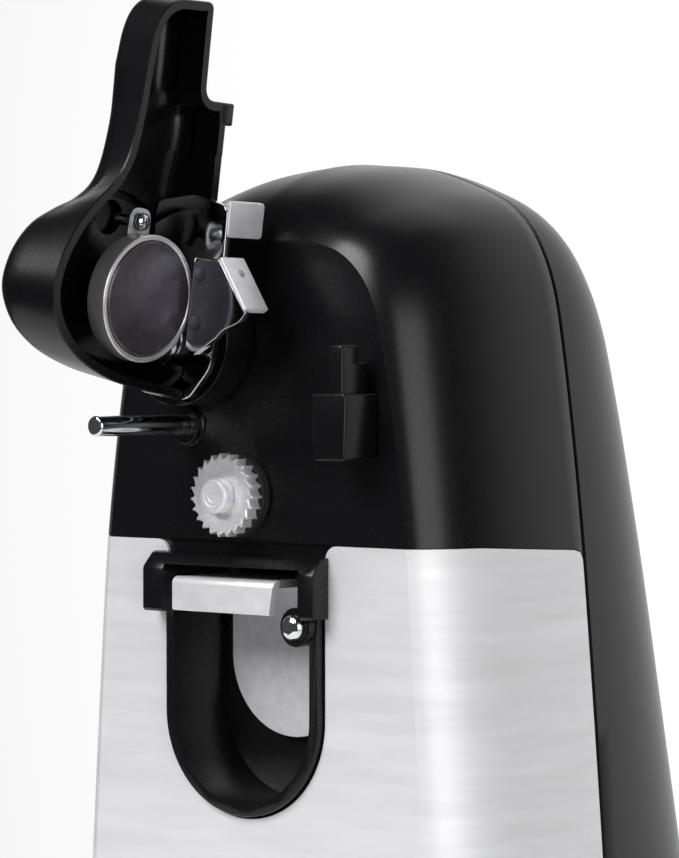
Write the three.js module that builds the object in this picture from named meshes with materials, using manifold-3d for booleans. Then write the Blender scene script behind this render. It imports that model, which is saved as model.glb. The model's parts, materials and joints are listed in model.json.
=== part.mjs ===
// Upright electric can opener: two-part black housing, brushed steel front skin, bottle opener,
// geared motor drive with a toothed wheel, and a raised hand lever with cutter and lid magnet.
// Millimetres, +Z up, the working front faces -Y. Inside the assembly the flat front wall is y = 0.
import * as THREE from 'three';
import { mergeVertices } from 'three/addons/utils/BufferGeometryUtils.js';
import loadManifold from 'manifold-3d';

const wasm = await loadManifold();
wasm.setup();
const { Manifold, Mesh: ManifoldMesh } = wasm;

// ---------- main dimensions ----------
const FRONT_Y = -26.6;          // row-frame y of the flat front wall
const SEAM_Y = 45;              // depth of the joint between the two housing halves
const SEAM_GAP = 0.4;
const WALL = 2.6;               // housing wall
const SKIN = 0.7;               // steel skin
const SKIN_POCKET = 0.95;       // depth of the recess that takes the skin
const FLOOR_Z = 1.5;            // underside of the housing above the table
const PANEL_TOP_Z = 141.7;
const ARCH_STEPS = 16;          // points up each side of the housing outline
const DEPTH_STEPS = 5;          // rings from seam to front, and from seam to back

const WHEEL = { x: -3.9, z: 152, radius: 9.0, teeth: 23, yFront: -5.8, yBack: -2.3 };
const PIVOT = { x: -14, z: 186, hubRadius: 14.8, spindleRadius: 4 };
const PIN = { x: -18.7, z: 167, radius: 2.2, length: 29.4, bossRadius: 4.3 };
const LEVER_REST_DEG = -82;     // lever drawn closed, then stored raised
const POCKET = { x: -2, halfWidth: 22, bottomRadiusZ: 104.5, topZ: 138.5, floorY: 18 };
const PLUNGER = { x0: 29.8, x1: 33.4, y0: -10, y1: -1.6, topZ: 184, bottomZ: 168.8 };

const GEAR_AXES = {
  spindle: { x: WHEEL.x, z: WHEEL.z },
  second: { x: WHEEL.x + 31.5 * Math.cos(-0.87), z: WHEEL.z + 31.5 * Math.sin(-0.87) },
};
GEAR_AXES.first = {
  x: GEAR_AXES.second.x + 30 * Math.cos(-2.36),
  z: GEAR_AXES.second.z + 30 * Math.sin(-2.36),
};
GEAR_AXES.motor = {
  x: GEAR_AXES.first.x + 28 * Math.cos(-1.2),
  z: GEAR_AXES.first.z + 28 * Math.sin(-1.2),
};

// ---------- materials ----------
const finish = (color, roughness, metalness) =>
  new THREE.MeshStandardMaterial({ color, roughness, metalness });
const MATERIALS = {
  blackPlastic: finish('#242426', 0.42, 0),
  brushedSteel: finish('#d6d6d9', 0.36, 1),
  brightSteel: finish('#c9ccd1', 0.22, 1),
  chrome: finish('#dfe2e6', 0.08, 1),
  nickel: finish('#c8c4bd', 0.2, 1),
  ferrite: finish('#4a4650', 0.5, 0.1),
  rubber: finish('#2b2b2c', 0.85, 0),
  whiteNylon: finish('#e9e6dc', 0.5, 0),
  zincSteel: finish('#b4b7ba', 0.4, 1),
  lamination: finish('#6d7074', 0.5, 0.9),
  copper: finish('#a5552d', 0.35, 0.9),
  brass: finish('#b5934a', 0.35, 1),
};

// ---------- geometry helpers ----------
function toManifold(geometry) {
  const bare = geometry.clone();
  bare.deleteAttribute('normal');
  bare.deleteAttribute('uv');
  const merged = mergeVertices(bare, 1e-4);
  return new Manifold(new ManifoldMesh({
    numProp: 3,
    vertProperties: new Float32Array(merged.attributes.position.array),
    triVerts: new Uint32Array(merged.index.array),
  }));
}

function toGeometry(solid) {
  const mesh = solid.getMesh();
  const geometry = new THREE.BufferGeometry();
  geometry.setAttribute('position', new THREE.BufferAttribute(new Float32Array(mesh.vertProperties), 3));
  geometry.setIndex(new THREE.BufferAttribute(new Uint32Array(mesh.triVerts), 1));
  geometry.computeVertexNormals();
  return geometry;
}

const join = (...solids) => solids.reduce((sum, next) => sum.add(next));
const cut = (solid, ...tools) => tools.reduce((rest, tool) => rest.subtract(tool), solid);

// The largest body of a cut solid, without the crumbs that a thin cut leaves.
function mainBody(solid) {
  return solid.decompose().sort((a, b) => b.volume() - a.volume())[0];
}

function box(x0, x1, y0, y1, z0, z1) {
  const geometry = new THREE.BoxGeometry(x1 - x0, y1 - y0, z1 - z0);
  return toManifold(geometry.translate((x0 + x1) / 2, (y0 + y1) / 2, (z0 + z1) / 2));
}

function rodY(x, z, radius, y0, y1, sides = 20) {
  const geometry = new THREE.CylinderGeometry(radius, radius, y1 - y0, sides);
  return toManifold(geometry.translate(x, (y0 + y1) / 2, z));
}

function rodZ(x, y, radius, z0, z1, sides = 20) {
  const geometry = new THREE.CylinderGeometry(radius, radius, z1 - z0, sides);
  return toManifold(geometry.rotateX(Math.PI / 2).translate(x, y, (z0 + z1) / 2));
}

// A round solid about +Y from [radius, y] pairs that start and end on the axis or close up.
function turned(profile, sides) {
  const points = profile.map(([radius, y]) => new THREE.Vector2(radius, y));
  const solid = toManifold(new THREE.LatheGeometry(points, sides));
  return solid.volume() > 0 ? solid : toManifold(new THREE.LatheGeometry(points.reverse(), sides));
}

function turnedY(x, z, profile, sides = 20) {
  return turned(profile, sides).translate([x, 0, z]);
}

function turnedZ(x, y, profile, sides = 20) {
  return turned(profile, sides).rotate([90, 0, 0]).translate([x, y, 0]);
}

// A flat outline drawn as (x, z) and given thickness from y0 to y1.
function plateXZ(shape, y0, y1, curveSegments = 10) {
  const geometry = new THREE.ExtrudeGeometry(shape, {
    depth: y1 - y0, bevelEnabled: false, curveSegments,
  });
  return toManifold(geometry.rotateX(Math.PI / 2).translate(0, y1, 0));
}

function polygon(points) {
  return new THREE.Shape(points.map(([a, b]) => new THREE.Vector2(a, b)));
}

// A polygon whose corners are rounded to the given radius.
function roundedPolygon(points, radius) {
  const shape = new THREE.Shape();
  points.forEach(([x, y], index) => {
    const corner = new THREE.Vector2(x, y);
    const before = new THREE.Vector2(...points[(index + points.length - 1) % points.length]);
    const after = new THREE.Vector2(...points[(index + 1) % points.length]);
    const start = corner.clone().add(before.sub(corner).setLength(radius));
    const end = corner.clone().add(after.sub(corner).setLength(radius));
    if (index === 0) shape.moveTo(start.x, start.y);
    else shape.lineTo(start.x, start.y);
    shape.quadraticCurveTo(corner.x, corner.y, end.x, end.y);
  });
  return shape;
}

// The bottle opener's U outline: straight sides, round bottom, open square top.
function pocketOutline(inset, topZ = POCKET.topZ) {
  const radius = POCKET.halfWidth - inset;
  const shape = new THREE.Shape();
  shape.moveTo(POCKET.x + radius, topZ);
  shape.lineTo(POCKET.x - radius, topZ);
  shape.absarc(POCKET.x, POCKET.bottomRadiusZ, radius, Math.PI, 2 * Math.PI, false);
  return shape;
}

// ---------- housing form ----------
// [half width, height] up the side at the seam, on the flat front, and on the flat back.
const SEAM_OUTLINE = [
  [65.6, FLOOR_Z], [63.6, 35], [60.8, 74], [58.1, 108], [55.3, 140], [53, 161], [50.2, 182],
  [47.7, 196], [44.9, 204], [41, 210.5], [35.5, 215.5], [27, 219.6], [14, 223.8], [0, 225.4],
];
const FRONT_OUTLINE = [
  [51, FLOOR_Z], [49, 35], [46.6, 74], [44.6, 108], [42.4, 140], [39.8, 161], [37, 178],
  [34.5, 190], [32, 196], [28.5, 200.5], [24, 203.8], [17, 205.9], [9, 206.9], [0, 207.2],
];
const BACK_OUTLINE = [
  [48, FLOOR_Z], [45, 29], [40.6, 60], [37, 88], [33.6, 114], [31.2, 131], [28.6, 148],
  [26.5, 159], [24.7, 165.5], [22.3, 171], [19.1, 175], [14.4, 178.6], [7.4, 181.8], [0, 183.2],
];
const backDepthAt = (z) => 103.3 - 0.12 * z;

function archPoints(outline) {
  const curve = new THREE.CatmullRomCurve3(
    outline.map(([halfWidth, z]) => new THREE.Vector3(halfWidth, 0, z)), false, 'centripetal',
  );
  const right = [];
  for (let step = 0; step <= ARCH_STEPS; step += 1) right.push(curve.getPoint(step / ARCH_STEPS));
  const left = right.slice(0, -1).reverse().map((p) => new THREE.Vector3(-p.x, 0, p.z));
  return right.concat(left);
}

// Rings of points from the seam to the flat end. "power" sets how square the shoulder is, and a
// "sweep" under 90 degrees leaves a crease where the shoulder meets the flat.
function housingRings(endOutline, endDepthAt, power, sweep) {
  const seam = archPoints(SEAM_OUTLINE);
  const end = archPoints(endOutline);
  const last = THREE.MathUtils.degToRad(sweep);
  const rings = [];
  for (let step = 0; step <= DEPTH_STEPS; step += 1) {
    const angle = (step / DEPTH_STEPS) * last;
    const reach = (Math.sin(angle) / Math.sin(last)) ** (2 / power);
    const narrowing = (1 - Math.cos(angle) ** (2 / power)) / (1 - Math.cos(last) ** (2 / power));
    rings.push(seam.map((point, index) => {
      const moved = point.clone().lerp(end[index], narrowing);
      moved.y = SEAM_Y + (endDepthAt(moved.z) - SEAM_Y) * reach;
      return moved;
    }));
  }
  return rings;
}

// Moves every ring point inwards by the given distance, along the surface normal.
function insetRings(rings, distance, endDepthAt, sign) {
  return rings.map((ring, row) => ring.map((point, index) => {
    const ahead = ring[Math.min(index + 1, ring.length - 1)];
    const behind = ring[Math.max(index - 1, 0)];
    const along = ahead.clone().sub(behind);
    const inner = rings[Math.min(row + 1, rings.length - 1)][index];
    const outer = rings[Math.max(row - 1, 0)][index];
    const across = inner.clone().sub(outer);
    const normal = along.cross(across).normalize().multiplyScalar(sign);
    if (row === 0) normal.setY(0).normalize();
    const moved = point.clone().addScaledVector(normal, -distance);
    const limit = endDepthAt(moved.z);
    if (sign > 0) moved.y = Math.max(moved.y, limit + distance);
    else moved.y = Math.min(moved.y, limit - distance);
    return moved;
  }));
}

// Closes a stack of equal rings into a solid. Each ring runs anticlockwise in x and z, and both
// ends are filled flat; faces are turned over when the stack runs towards +Y.
function loftSolid(rings, capOutline = rings[0].map((p) => new THREE.Vector2(p.x, p.z))) {
  const size = rings[0].length;
  const positions = rings.flat().flatMap((p) => [p.x, p.y, p.z]);
  const faces = [];
  for (let row = 0; row + 1 < rings.length; row += 1) {
    for (let index = 0; index < size; index += 1) {
      const next = (index + 1) % size;
      const a = row * size + index;
      const b = row * size + next;
      faces.push([a, b, b + size], [a, b + size, a + size]);
    }
  }
  const caps = THREE.ShapeUtils.triangulateShape(capOutline, []);
  const last = (rings.length - 1) * size;
  caps.forEach(([a, b, c]) => faces.push([c, b, a], [last + a, last + b, last + c]));
  const geometry = new THREE.BufferGeometry();
  geometry.setAttribute('position', new THREE.Float32BufferAttribute(positions, 3));
  geometry.setIndex(faces.flat());
  const solid = toManifold(geometry);
  if (solid.volume() > 0) return solid;
  geometry.setIndex(faces.map(([a, b, c]) => [a, c, b]).flat());
  return toManifold(geometry);
}

function housingHalf(isFront, inset, seamOffset, floorDrop) {
  const endDepthAt = isFront ? () => 0 : backDepthAt;
  const outline = isFront ? FRONT_OUTLINE : BACK_OUTLINE;
  const sign = isFront ? 1 : -1;
  let rings = housingRings(outline, endDepthAt, isFront ? 2.2 : 2.3, isFront ? 78 : 90);
  if (inset > 0) rings = insetRings(rings, inset, endDepthAt, sign);
  rings[0].forEach((point) => { point.y = SEAM_Y + seamOffset; });
  if (floorDrop > 0) {
    rings.forEach((ring) => {
      ring[0].z -= floorDrop;
      ring[ring.length - 1].z -= floorDrop;
    });
  }
  return loftSolid(rings);
}

const frontOuter = housingHalf(true, 0, 0, 0);
const frontInner = housingHalf(true, WALL, 3, 4);
const rearOuter = housingHalf(false, 0, SEAM_GAP, 0);
const rearInner = housingHalf(false, WALL, -3, 4);
const slabBelow = (z) => box(-90, 90, -5, 140, -10, z);

// ---------- nodes ----------
const assembly = new THREE.Group();
assembly.position.set(0, FRONT_Y, 0);
const lever = new THREE.Group();
lever.position.set(PIVOT.x, 0, PIVOT.z);
lever.rotation.y = THREE.MathUtils.degToRad(LEVER_REST_DEG);
assembly.add(lever);

function addPiece(name, solid, material, parent = assembly) {
  const mesh = new THREE.Mesh(toGeometry(solid), MATERIALS[material]);
  mesh.name = name;
  parent.add(mesh);
}

// ----- housing -----
const BASE_BOSSES = [[-52, 34], [52, 34], [-52, 64], [52, 64]];
const REAR_BOSSES = [[-41, 30], [41, 30]];
const PLATE_BOSSES = [[-32, 160], [38, 112]];

function baseBoss([x, y], wallReach) {
  const side = Math.sign(x);
  const rib = side > 0 ? box(x, wallReach, y - 1, y + 1, 4, 20) : box(-wallReach, x, y - 1, y + 1, 4, 20);
  return cut(join(rodZ(x, y, 4, 3.6, 20, 14), rib), rodZ(x, y, 1.55, 3, 16, 10));
}

const BLOCK_PEGS = [[27.7, 171.4], [27.7, 163.2]];

function makeSwitchBlock() {
  const { x0, x1, y0, y1 } = PLUNGER;
  const side = polygon([[25.8, 174], [35, 174], [34.6, 160], [26.6, 160]]);
  return cut(
    join(plateXZ(side, -10.9, -0.1), ...BLOCK_PEGS.map(([x, z]) => rodY(x, z, 0.9, -1, 3, 8))),
    box(x0 - 0.25, x1 + 0.25, y0 - 0.25, y1 + 0.25, 161.6, 176),
    box(30.1, 33.1, -2.4, 4, 162.4, 175),
  );
}

function makeFrontHousing() {
  const skinRecess = cut(slabBelow(PANEL_TOP_Z + 0.25), housingHalf(true, SKIN_POCKET, 3, 4));
  const recess = cut(skinRecess, box(-90, 90, SEAM_Y + 0.001, 140, -10, 200));
  let shell = cut(frontOuter, frontInner, recess);
  shell = join(
    shell,
    rodY(PIN.x, PIN.z, PIN.bossRadius, -1.4, 9, 18),
    rodY(WHEEL.x, WHEEL.z, 10.2, 1, 14, 20),
    rodY(PIVOT.x, PIVOT.z, 8, 1, 12, 18),
    ...BASE_BOSSES.slice(0, 2).map((place) => baseBoss(place, 62.5)),
    ...REAR_BOSSES.map(([x, z]) => rodY(x, z, 4, 1.5, SEAM_Y - 0.2, 12)),
    ...PLATE_BOSSES.map(([x, z]) => rodY(x, z, 3.6, 1.5, 20.2, 12)),
  );
  return cut(
    shell,
    plateXZ(pocketOutline(-0.3, POCKET.topZ + 0.3), -5, 30),
    rodY(PIN.x, PIN.z, PIN.radius + 0.03, -5, 8.3, 16),
    rodY(WHEEL.x, WHEEL.z, 7.85, -5, 20, 20),
    rodY(PIVOT.x, PIVOT.z, PIVOT.spindleRadius + 0.2, -5, 20, 20),
    box(30.1, 33.1, -2.4, 4, 162.4, 175),
    ...BLOCK_PEGS.map(([x, z]) => rodY(x, z, 1.1, -4, 6, 8)),
    ...REAR_BOSSES.map(([x, z]) => rodY(x, z, 1.55, 34, SEAM_Y + 2, 10)),
    ...PLATE_BOSSES.map(([x, z]) => rodY(x, z, 1.3, 10, 22, 10)),
  );
}

function makeSteelFrontPanel() {
  const inner = housingHalf(true, SKIN, 3, 4);
  const skin = cut(frontOuter, inner).intersect(box(-90, 90, -5, SEAM_Y - 0.2, FLOOR_Z + 0.6, PANEL_TOP_Z));
  return cut(skin, plateXZ(pocketOutline(-0.55, 160), -5, 30));
}

function makeRearHousing() {
  const shell = join(
    cut(rearOuter, rearInner),
    ...BASE_BOSSES.slice(2).map((place) => baseBoss(place, 62.5)),
    ...REAR_BOSSES.map(([x, z]) => rodY(x, z, 5.2, SEAM_Y + SEAM_GAP + 0.2, 97.8, 14)),
  );
  return cut(
    shell,
    ...REAR_BOSSES.flatMap(([x, z]) => [rodY(x, z, 3.7, 56, 130, 14), rodY(x, z, 1.8, 40, 58, 10)]),
    rodY(28, 14, 4.6, 92, 112, 18),
  );
}

function makeBasePlate() {
  const filler = join(housingHalf(true, WALL + 0.3, 0.5, 4), housingHalf(false, WALL + 0.3, 0, 4));
  const plate = filler.intersect(box(-90, 90, -5, 140, FLOOR_Z + 0.1, 3.3));
  const holes = BASE_BOSSES.map(([x, y]) => rodZ(x, y, 1.75, 0, 6, 10));
  const sinks = BASE_BOSSES.map(([x, y]) => rodZ(x, y, 3.4, 0, 2.2, 12));
  return cut(plate, ...holes, ...sinks);
}

addPiece('front_housing', makeFrontHousing(), 'blackPlastic');
addPiece('steel_front_panel', makeSteelFrontPanel(), 'brushedSteel');
addPiece('rear_housing', makeRearHousing(), 'blackPlastic');
addPiece('base_plate', makeBasePlate(), 'blackPlastic');

BASE_BOSSES.forEach(([x, y], index) => {
  const screw = turnedZ(x, y, [[0, 14], [1.45, 13], [1.45, 2.15], [3.1, 2.15], [3.1, 1.7], [0, 1.7]], 10);
  addPiece(`base_screw_${index + 1}`, screw, 'zincSteel');
});
[[-42, 18], [42, 18], [-40, 84], [40, 84]].forEach(([x, y], index) => {
  const foot = turnedZ(x, y, [[0, 1.55], [7, 1.55], [7, 0.6], [6.2, 0], [0, 0]], 18);
  addPiece(`foot_${index + 1}`, foot, 'rubber');
});
REAR_BOSSES.forEach(([x, z], index) => {
  const profile = [[0, 36], [1.45, 37], [1.45, 56.1], [3.3, 56.1], [3.3, 58.4], [0, 58.4]];
  addPiece(`housing_screw_${index + 1}`, turnedY(x, z, profile, 10), 'zincSteel');
});
const gland = [[0, 90], [4.4, 90], [4.4, 102.4], [5.6, 102.5], [5.6, 104.2], [4.2, 110], [0, 110]];
addPiece('cord_gland', turnedY(28, 14, gland, 18), 'rubber');

// ----- bottle opener -----
const OPENER_SCREW = { x: 15.0, z: 124.4 };

function makeOpenerPocket() {
  const hoodSide = [[0.3, 139.2], [-2.2, 139.2], [-5.4, 135.8], [-5.4, 126.4], [0.3, 126.4]];
  const hood = toManifold(new THREE.ExtrudeGeometry(polygon(hoodSide), {
    depth: 49, bevelEnabled: false,
  }).applyMatrix4(new THREE.Matrix4().set(0, 0, 1, -27.5, 1, 0, 0, 0, 0, 1, 0, 0, 0, 0, 0, 1)));
  const hoodOutside = cut(hood, box(-40, 40, 0, 10, 100, 160).translate([0, -0.3, 0]));
  const cup = plateXZ(pocketOutline(0), -1.6, POCKET.floorY, 12);
  const hollow = plateXZ(pocketOutline(2.6, 136.6), -6, POCKET.floorY - 1.6, 12);
  const barSpace = box(-21.6, 11.2, -6, 0, 120, 134.6);
  return join(
    cut(join(cup, hoodOutside), hollow, barSpace),
    cut(rodY(OPENER_SCREW.x, OPENER_SCREW.z, 4.2, -3.4, POCKET.floorY - 1, 16),
      rodY(OPENER_SCREW.x, OPENER_SCREW.z, 1.5, -4, 10, 10)),
  );
}

function makeBottleOpenerPlate() {
  const lip = roundedPolygon([[-19.4, 126.6], [-19.4, 134], [10, 134], [8.4, 126.6]], 1.6);
  const bar = plateXZ(lip, -4.6, -2.8, 3);
  const web = box(-17.6, 7.8, -3.2, 15.9, 132.4, 134);
  const outline = new THREE.Shape();
  outline.moveTo(16.6, 134);
  outline.lineTo(-18.6, 134);
  outline.absarc(-1, 116, 17.6, Math.PI, 2 * Math.PI, false);
  const back = plateXZ(outline, 14.6, 16.2, 10);
  return cut(join(bar, web, back), rodY(OPENER_SCREW.x, OPENER_SCREW.z, 4.5, 10, 20, 16));
}

addPiece('opener_pocket', makeOpenerPocket(), 'blackPlastic');
addPiece('bottle_opener_plate', makeBottleOpenerPlate(), 'brightSteel');
const panHead = [[0, 8], [1.35, 7], [1.35, -3.5], [2.7, -3.5], [2.7, -4.6], [1.9, -5.4], [0, -5.6]];
addPiece('opener_screw', turnedY(OPENER_SCREW.x, OPENER_SCREW.z, panHead, 14), 'chrome');

// ----- front fittings -----
const pinProfile = [[0, 8], [PIN.radius, 8], [PIN.radius, -PIN.length + 0.5],
  [PIN.radius - 0.5, -PIN.length], [0, -PIN.length]];
addPiece('can_guide_pin', turnedY(PIN.x, PIN.z, pinProfile, 16), 'chrome');

function makePlunger() {
  const { x0, x1, y0, y1, topZ, bottomZ } = PLUNGER;
  const stem = box(x0, x1, y0, y1, bottomZ, topZ - 3.6);
  const crown = roundedPolygon([[x0, topZ - 5], [x0, topZ], [x1, topZ], [x1, topZ - 5]], 1.2);
  const arm = box(30.4, 32.8, y1 - 1, 21, 169.6, 173);
  return join(stem, plateXZ(crown, y0, y0 + 5.4, 3), arm);
}

class Coil extends THREE.Curve {
  constructor(x, y, radius, z0, z1, turns) {
    super();
    Object.assign(this, { x, y, radius, z0, z1, turns });
  }

  getPoint(t, target = new THREE.Vector3()) {
    const angle = 2 * Math.PI * this.turns * t;
    return target.set(
      this.x + this.radius * Math.cos(angle),
      this.y + this.radius * Math.sin(angle),
      this.z0 + (this.z1 - this.z0) * t,
    );
  }
}

function makeSpring() {
  const wire = polygon([[0.4, 0], [0.12, 0.38], [-0.32, 0.24], [-0.32, -0.24], [0.12, -0.38]]);
  const path = new Coil(31.6, 10, 2.2, 156.9, 168.9, 5);
  return toManifold(new THREE.ExtrudeGeometry(wire, { steps: 40, extrudePath: path, bevelEnabled: false }));
}

addPiece('switch_block', makeSwitchBlock(), 'blackPlastic');
addPiece('switch_plunger', makePlunger(), 'blackPlastic');
addPiece('plunger_spring', makeSpring(), 'zincSteel');
addPiece('microswitch', join(box(27, 34.4, 6, 24, 140, 156.2), box(30.2, 33, 16, 19, 156, 162.6)),
  'blackPlastic');

// ----- gear train -----
// Tooth flanks are straight; "turn" is the angle of the middle of one tooth.
function gearWheel(axis, { teeth, module, bore, turn, y0, y1 }) {
  const pitchRadius = (teeth * module) / 2;
  const pitchAngle = (2 * Math.PI) / teeth;
  const points = [];
  for (let tooth = 0; tooth < teeth; tooth += 1) {
    const middle = turn + tooth * pitchAngle;
    [[-0.29, -1.15], [-0.12, 0.85], [0.12, 0.85], [0.29, -1.15]].forEach(([part, rise]) => {
      const radius = pitchRadius + rise * module;
      const angle = middle + part * pitchAngle;
      points.push([axis.x + radius * Math.cos(angle), axis.z + radius * Math.sin(angle)]);
    });
  }
  const disc = plateXZ(polygon(points), y0, y1);
  return bore > 0 ? cut(disc, rodY(axis.x, axis.z, bore, y0 - 1, y1 + 1, 14)) : disc;
}

const angleTo = (from, to) => Math.atan2(to.z - from.z, to.x - from.x);
// The angle at which a driven gear shows a gap towards its driver.
const gapTurn = (from, to, teeth) => angleTo(from, to) + Math.PI / teeth;

const { spindle, second, first, motor } = GEAR_AXES;
const secondTurn = angleTo(second, spindle);
const firstTurn = angleTo(first, second);
addPiece('drive_gear', gearWheel(spindle, {
  teeth: 28, module: 1.5, bore: 4.2, turn: gapTurn(spindle, second, 28), y0: 23.5, y1: 28.5,
}), 'whiteNylon');
addPiece('second_gear', join(
  gearWheel(second, { teeth: 14, module: 1.5, bore: 2.1, turn: secondTurn, y0: 23, y1: 30 }),
  gearWheel(second, {
    teeth: 48, module: 1, bore: 2.1, turn: gapTurn(second, first, 48), y0: 29.8, y1: 33.5,
  }),
), 'whiteNylon');
addPiece('first_gear', join(
  gearWheel(first, { teeth: 12, module: 1, bore: 2.1, turn: firstTurn, y0: 29.6, y1: 36.6 }),
  gearWheel(first, {
    teeth: 60, module: 0.8, bore: 2.1, turn: gapTurn(first, motor, 60), y0: 36.4, y1: 39.6,
  }),
), 'whiteNylon');
addPiece('motor_pinion', gearWheel(motor, {
  teeth: 10, module: 0.8, bore: 2.03, turn: angleTo(motor, first), y0: 36, y1: 41.5,
}), 'brass');

const plateOutline = roundedPolygon([
  [-37, 168], [-20, 174], [14, 174], [19, 146], [44, 122], [44, 100], [36, 58], [-26, 58], [-37, 120],
], 4);
const MOTOR_SCREWS = [[motor.x - 24, motor.z - 15], [motor.x + 24, motor.z - 15]];
addPiece('gear_plate', cut(
  plateXZ(plateOutline, 20.5, 22, 3),
  rodY(spindle.x, spindle.z, 7.85, 15, 25, 20),
  ...[first, second].map((axis) => rodY(axis.x, axis.z, 2.03, 15, 25, 14)),
  ...PLATE_BOSSES.map(([x, z]) => rodY(x, z, 1.75, 15, 25, 10)),
  ...MOTOR_SCREWS.map(([x, z]) => rodY(x, z, 1.63, 15, 25, 10)),
), 'zincSteel');
PLATE_BOSSES.forEach(([x, z], index) => {
  const profile = [[0, 11], [1.25, 12], [1.25, 22.1], [3, 22.1], [3, 24], [0, 24.4]];
  addPiece(`plate_screw_${index + 1}`, turnedY(x, z, profile, 10), 'zincSteel');
});
[first, second].forEach((axis, index) => {
  const profile = [[0, 20.4], [2, 20.4], [2, 40.4], [3.2, 40.4], [3.2, 41.4], [0, 41.4]];
  addPiece(`gear_axle_${index + 1}`, turnedY(axis.x, axis.z, profile, 14), 'zincSteel');
});

addPiece('drive_bush', turnedY(spindle.x, spindle.z, [
  [4.12, -1.9], [8.8, -1.9], [8.8, -0.3], [7.8, -0.3], [7.8, 22.8], [4.12, 22.8], [4.12, -1.9],
], 20), 'brass');
addPiece('drive_spindle', turnedY(spindle.x, spindle.z, [
  [0, -8.2], [1.6, -8.2], [2.6, -8.7], [3.8, -7.6], [3.8, -5.9], [3.4, -5.9], [3.4, -2.2],
  [4, -2.2], [4, 29.2], [0, 29.2],
], 20), 'brightSteel');

function makeDriveWheel() {
  const { x, z, radius, teeth, yFront, yBack } = WHEEL;
  const points = [];
  for (let tooth = 0; tooth < teeth; tooth += 1) {
    [[0, 1], [0.16, 1], [0.34, 0.875], [0.6, 0.9]].forEach(([part, scale]) => {
      const angle = -((tooth + part) / teeth) * 2 * Math.PI;
      points.push([x + radius * scale * Math.cos(angle), z + radius * scale * Math.sin(angle)]);
    });
  }
  return cut(plateXZ(polygon(points.reverse()), yFront, yBack), rodY(x, z, 3.45, -8, 0, 20));
}

addPiece('drive_wheel', makeDriveWheel(), 'brightSteel');

// ----- motor -----
function makeStator() {
  const outline = roundedPolygon([
    [motor.x - 28, motor.z - 46], [motor.x + 28, motor.z - 46],
    [motor.x + 28, motor.z + 20], [motor.x - 28, motor.z + 20],
  ], 4);
  return cut(
    plateXZ(outline, 50, 72, 3),
    rodY(motor.x, motor.z, 13.4, 40, 80, 28),
    box(motor.x - 16.5, motor.x + 16.5, 40, 80, motor.z - 34, motor.z - 19),
    ...MOTOR_SCREWS.map(([x, z]) => rodY(x, z, 1.8, 40, 80, 10)),
  );
}

function makeCoil() {
  const { x, z } = motor;
  const body = join(box(x - 15.6, x + 15.6, 43, 79, z - 52, z - 27), box(x - 16, x - 14.6, 41, 81, z - 54, z - 25),
    box(x + 14.6, x + 16, 41, 81, z - 54, z - 25));
  return cut(body, box(x - 20, x + 20, 49.7, 72.3, z - 46.4, z - 33.6));
}

function makeBracket(yInner, yOuter, legEnd) {
  const { x, z } = motor;
  const low = Math.min(yInner, yOuter);
  const high = Math.max(yInner, yOuter);
  const legs = [x - 26, x + 20].map((start) => (
    box(start, start + 6, Math.min(low, legEnd), Math.max(high, legEnd), z - 19, z - 11)
  ));
  const arms = box(x - 26, x + 26, low, high, z - 19, z - 11);
  const spine = box(x - 7, x + 7, low, high, z - 12, z + 7);
  const bearing = rodY(x, z, 5.2, low - 1.6, high + 1.6, 16);
  return cut(
    join(arms, ...legs, spine, bearing),
    rodY(x, z, 2.12, 30, 95, 14),
    ...MOTOR_SCREWS.map(([sx, sz]) => rodY(sx, sz, 1.8, 40, 90, 10)),
  );
}

addPiece('motor_stator', makeStator(), 'lamination');
addPiece('motor_coil', makeCoil(), 'copper');
addPiece('motor_bracket_front', makeBracket(45, 47, 49.7), 'zincSteel');
addPiece('motor_bracket_rear', makeBracket(77, 75, 72.3), 'zincSteel');
MOTOR_SCREWS.forEach(([x, z], index) => {
  const profile = [[0, 19.4], [1.6, 19.4], [1.6, 77.1], [3.2, 77.1], [3.2, 79.6], [0, 79.6]];
  addPiece(`motor_screw_${index + 1}`, turnedY(x, z, profile, 10), 'zincSteel');
});
addPiece('motor_rotor', turnedY(motor.x, motor.z, [
  [2.03, 50.5], [10, 50.5], [12.8, 52.5], [12.8, 69.5], [10, 71.5], [2.03, 71.5], [2.03, 50.5],
], 24), 'lamination');
addPiece('motor_shaft', turnedY(motor.x, motor.z, [
  [0, 34.5], [1.6, 34.5], [2, 35.2], [2, 87], [0, 87],
], 14), 'brightSteel');

function makeFan() {
  const hub = rodY(motor.x, motor.z, 5, 82, 86.4, 14);
  const blades = [];
  for (let blade = 0; blade < 6; blade += 1) {
    const vane = new THREE.BoxGeometry(14, 1.2, 4.6).translate(10.5, 0, 0).rotateX(0.7);
    vane.rotateY((blade * Math.PI) / 3).translate(motor.x, 84.2, motor.z);
    blades.push(toManifold(vane));
  }
  return cut(join(hub, ...blades), rodY(motor.x, motor.z, 2.03, 70, 95, 14));
}

addPiece('motor_fan', makeFan(), 'whiteNylon');

// ----- lever, drawn closed: u along +X, w along +Z, pivot at the origin -----
const COVER_RIM_W = -8.5;
const MAGNET = { u: 9, y: -28.2, radius: 13.4 };
const MAGNET_SCREW = { u: 24.7, y: -27.2 };
const PLATE_Y = [-14, -12.2];
const BLADE_Y = [-17.6, -15.8];

// The cover's nose and lower handle edge as [u, y], at the rim and high on its back.
const RIM_NOSE = [
  [-13, -12], [-11.4, -20], [-8.4, -36], [-3.6, -47], [2, -53], [9, -55.8], [16.4, -54.6],
  [23.4, -50.8], [28.8, -46], [33, -41.4], [38, -38.2], [46, -36.4], [57, -35.2],
];
const BACK_NOSE = [
  [-12, -12], [-10.8, -19], [-7.2, -36.5], [-2.8, -47.4], [2.6, -53.8], [9.4, -56.8],
  [16.6, -55.2], [22.8, -50.4], [26.2, -44.6], [29, -38.6], [33, -34.6], [44, -33.2], [57, -33.2],
];

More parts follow.
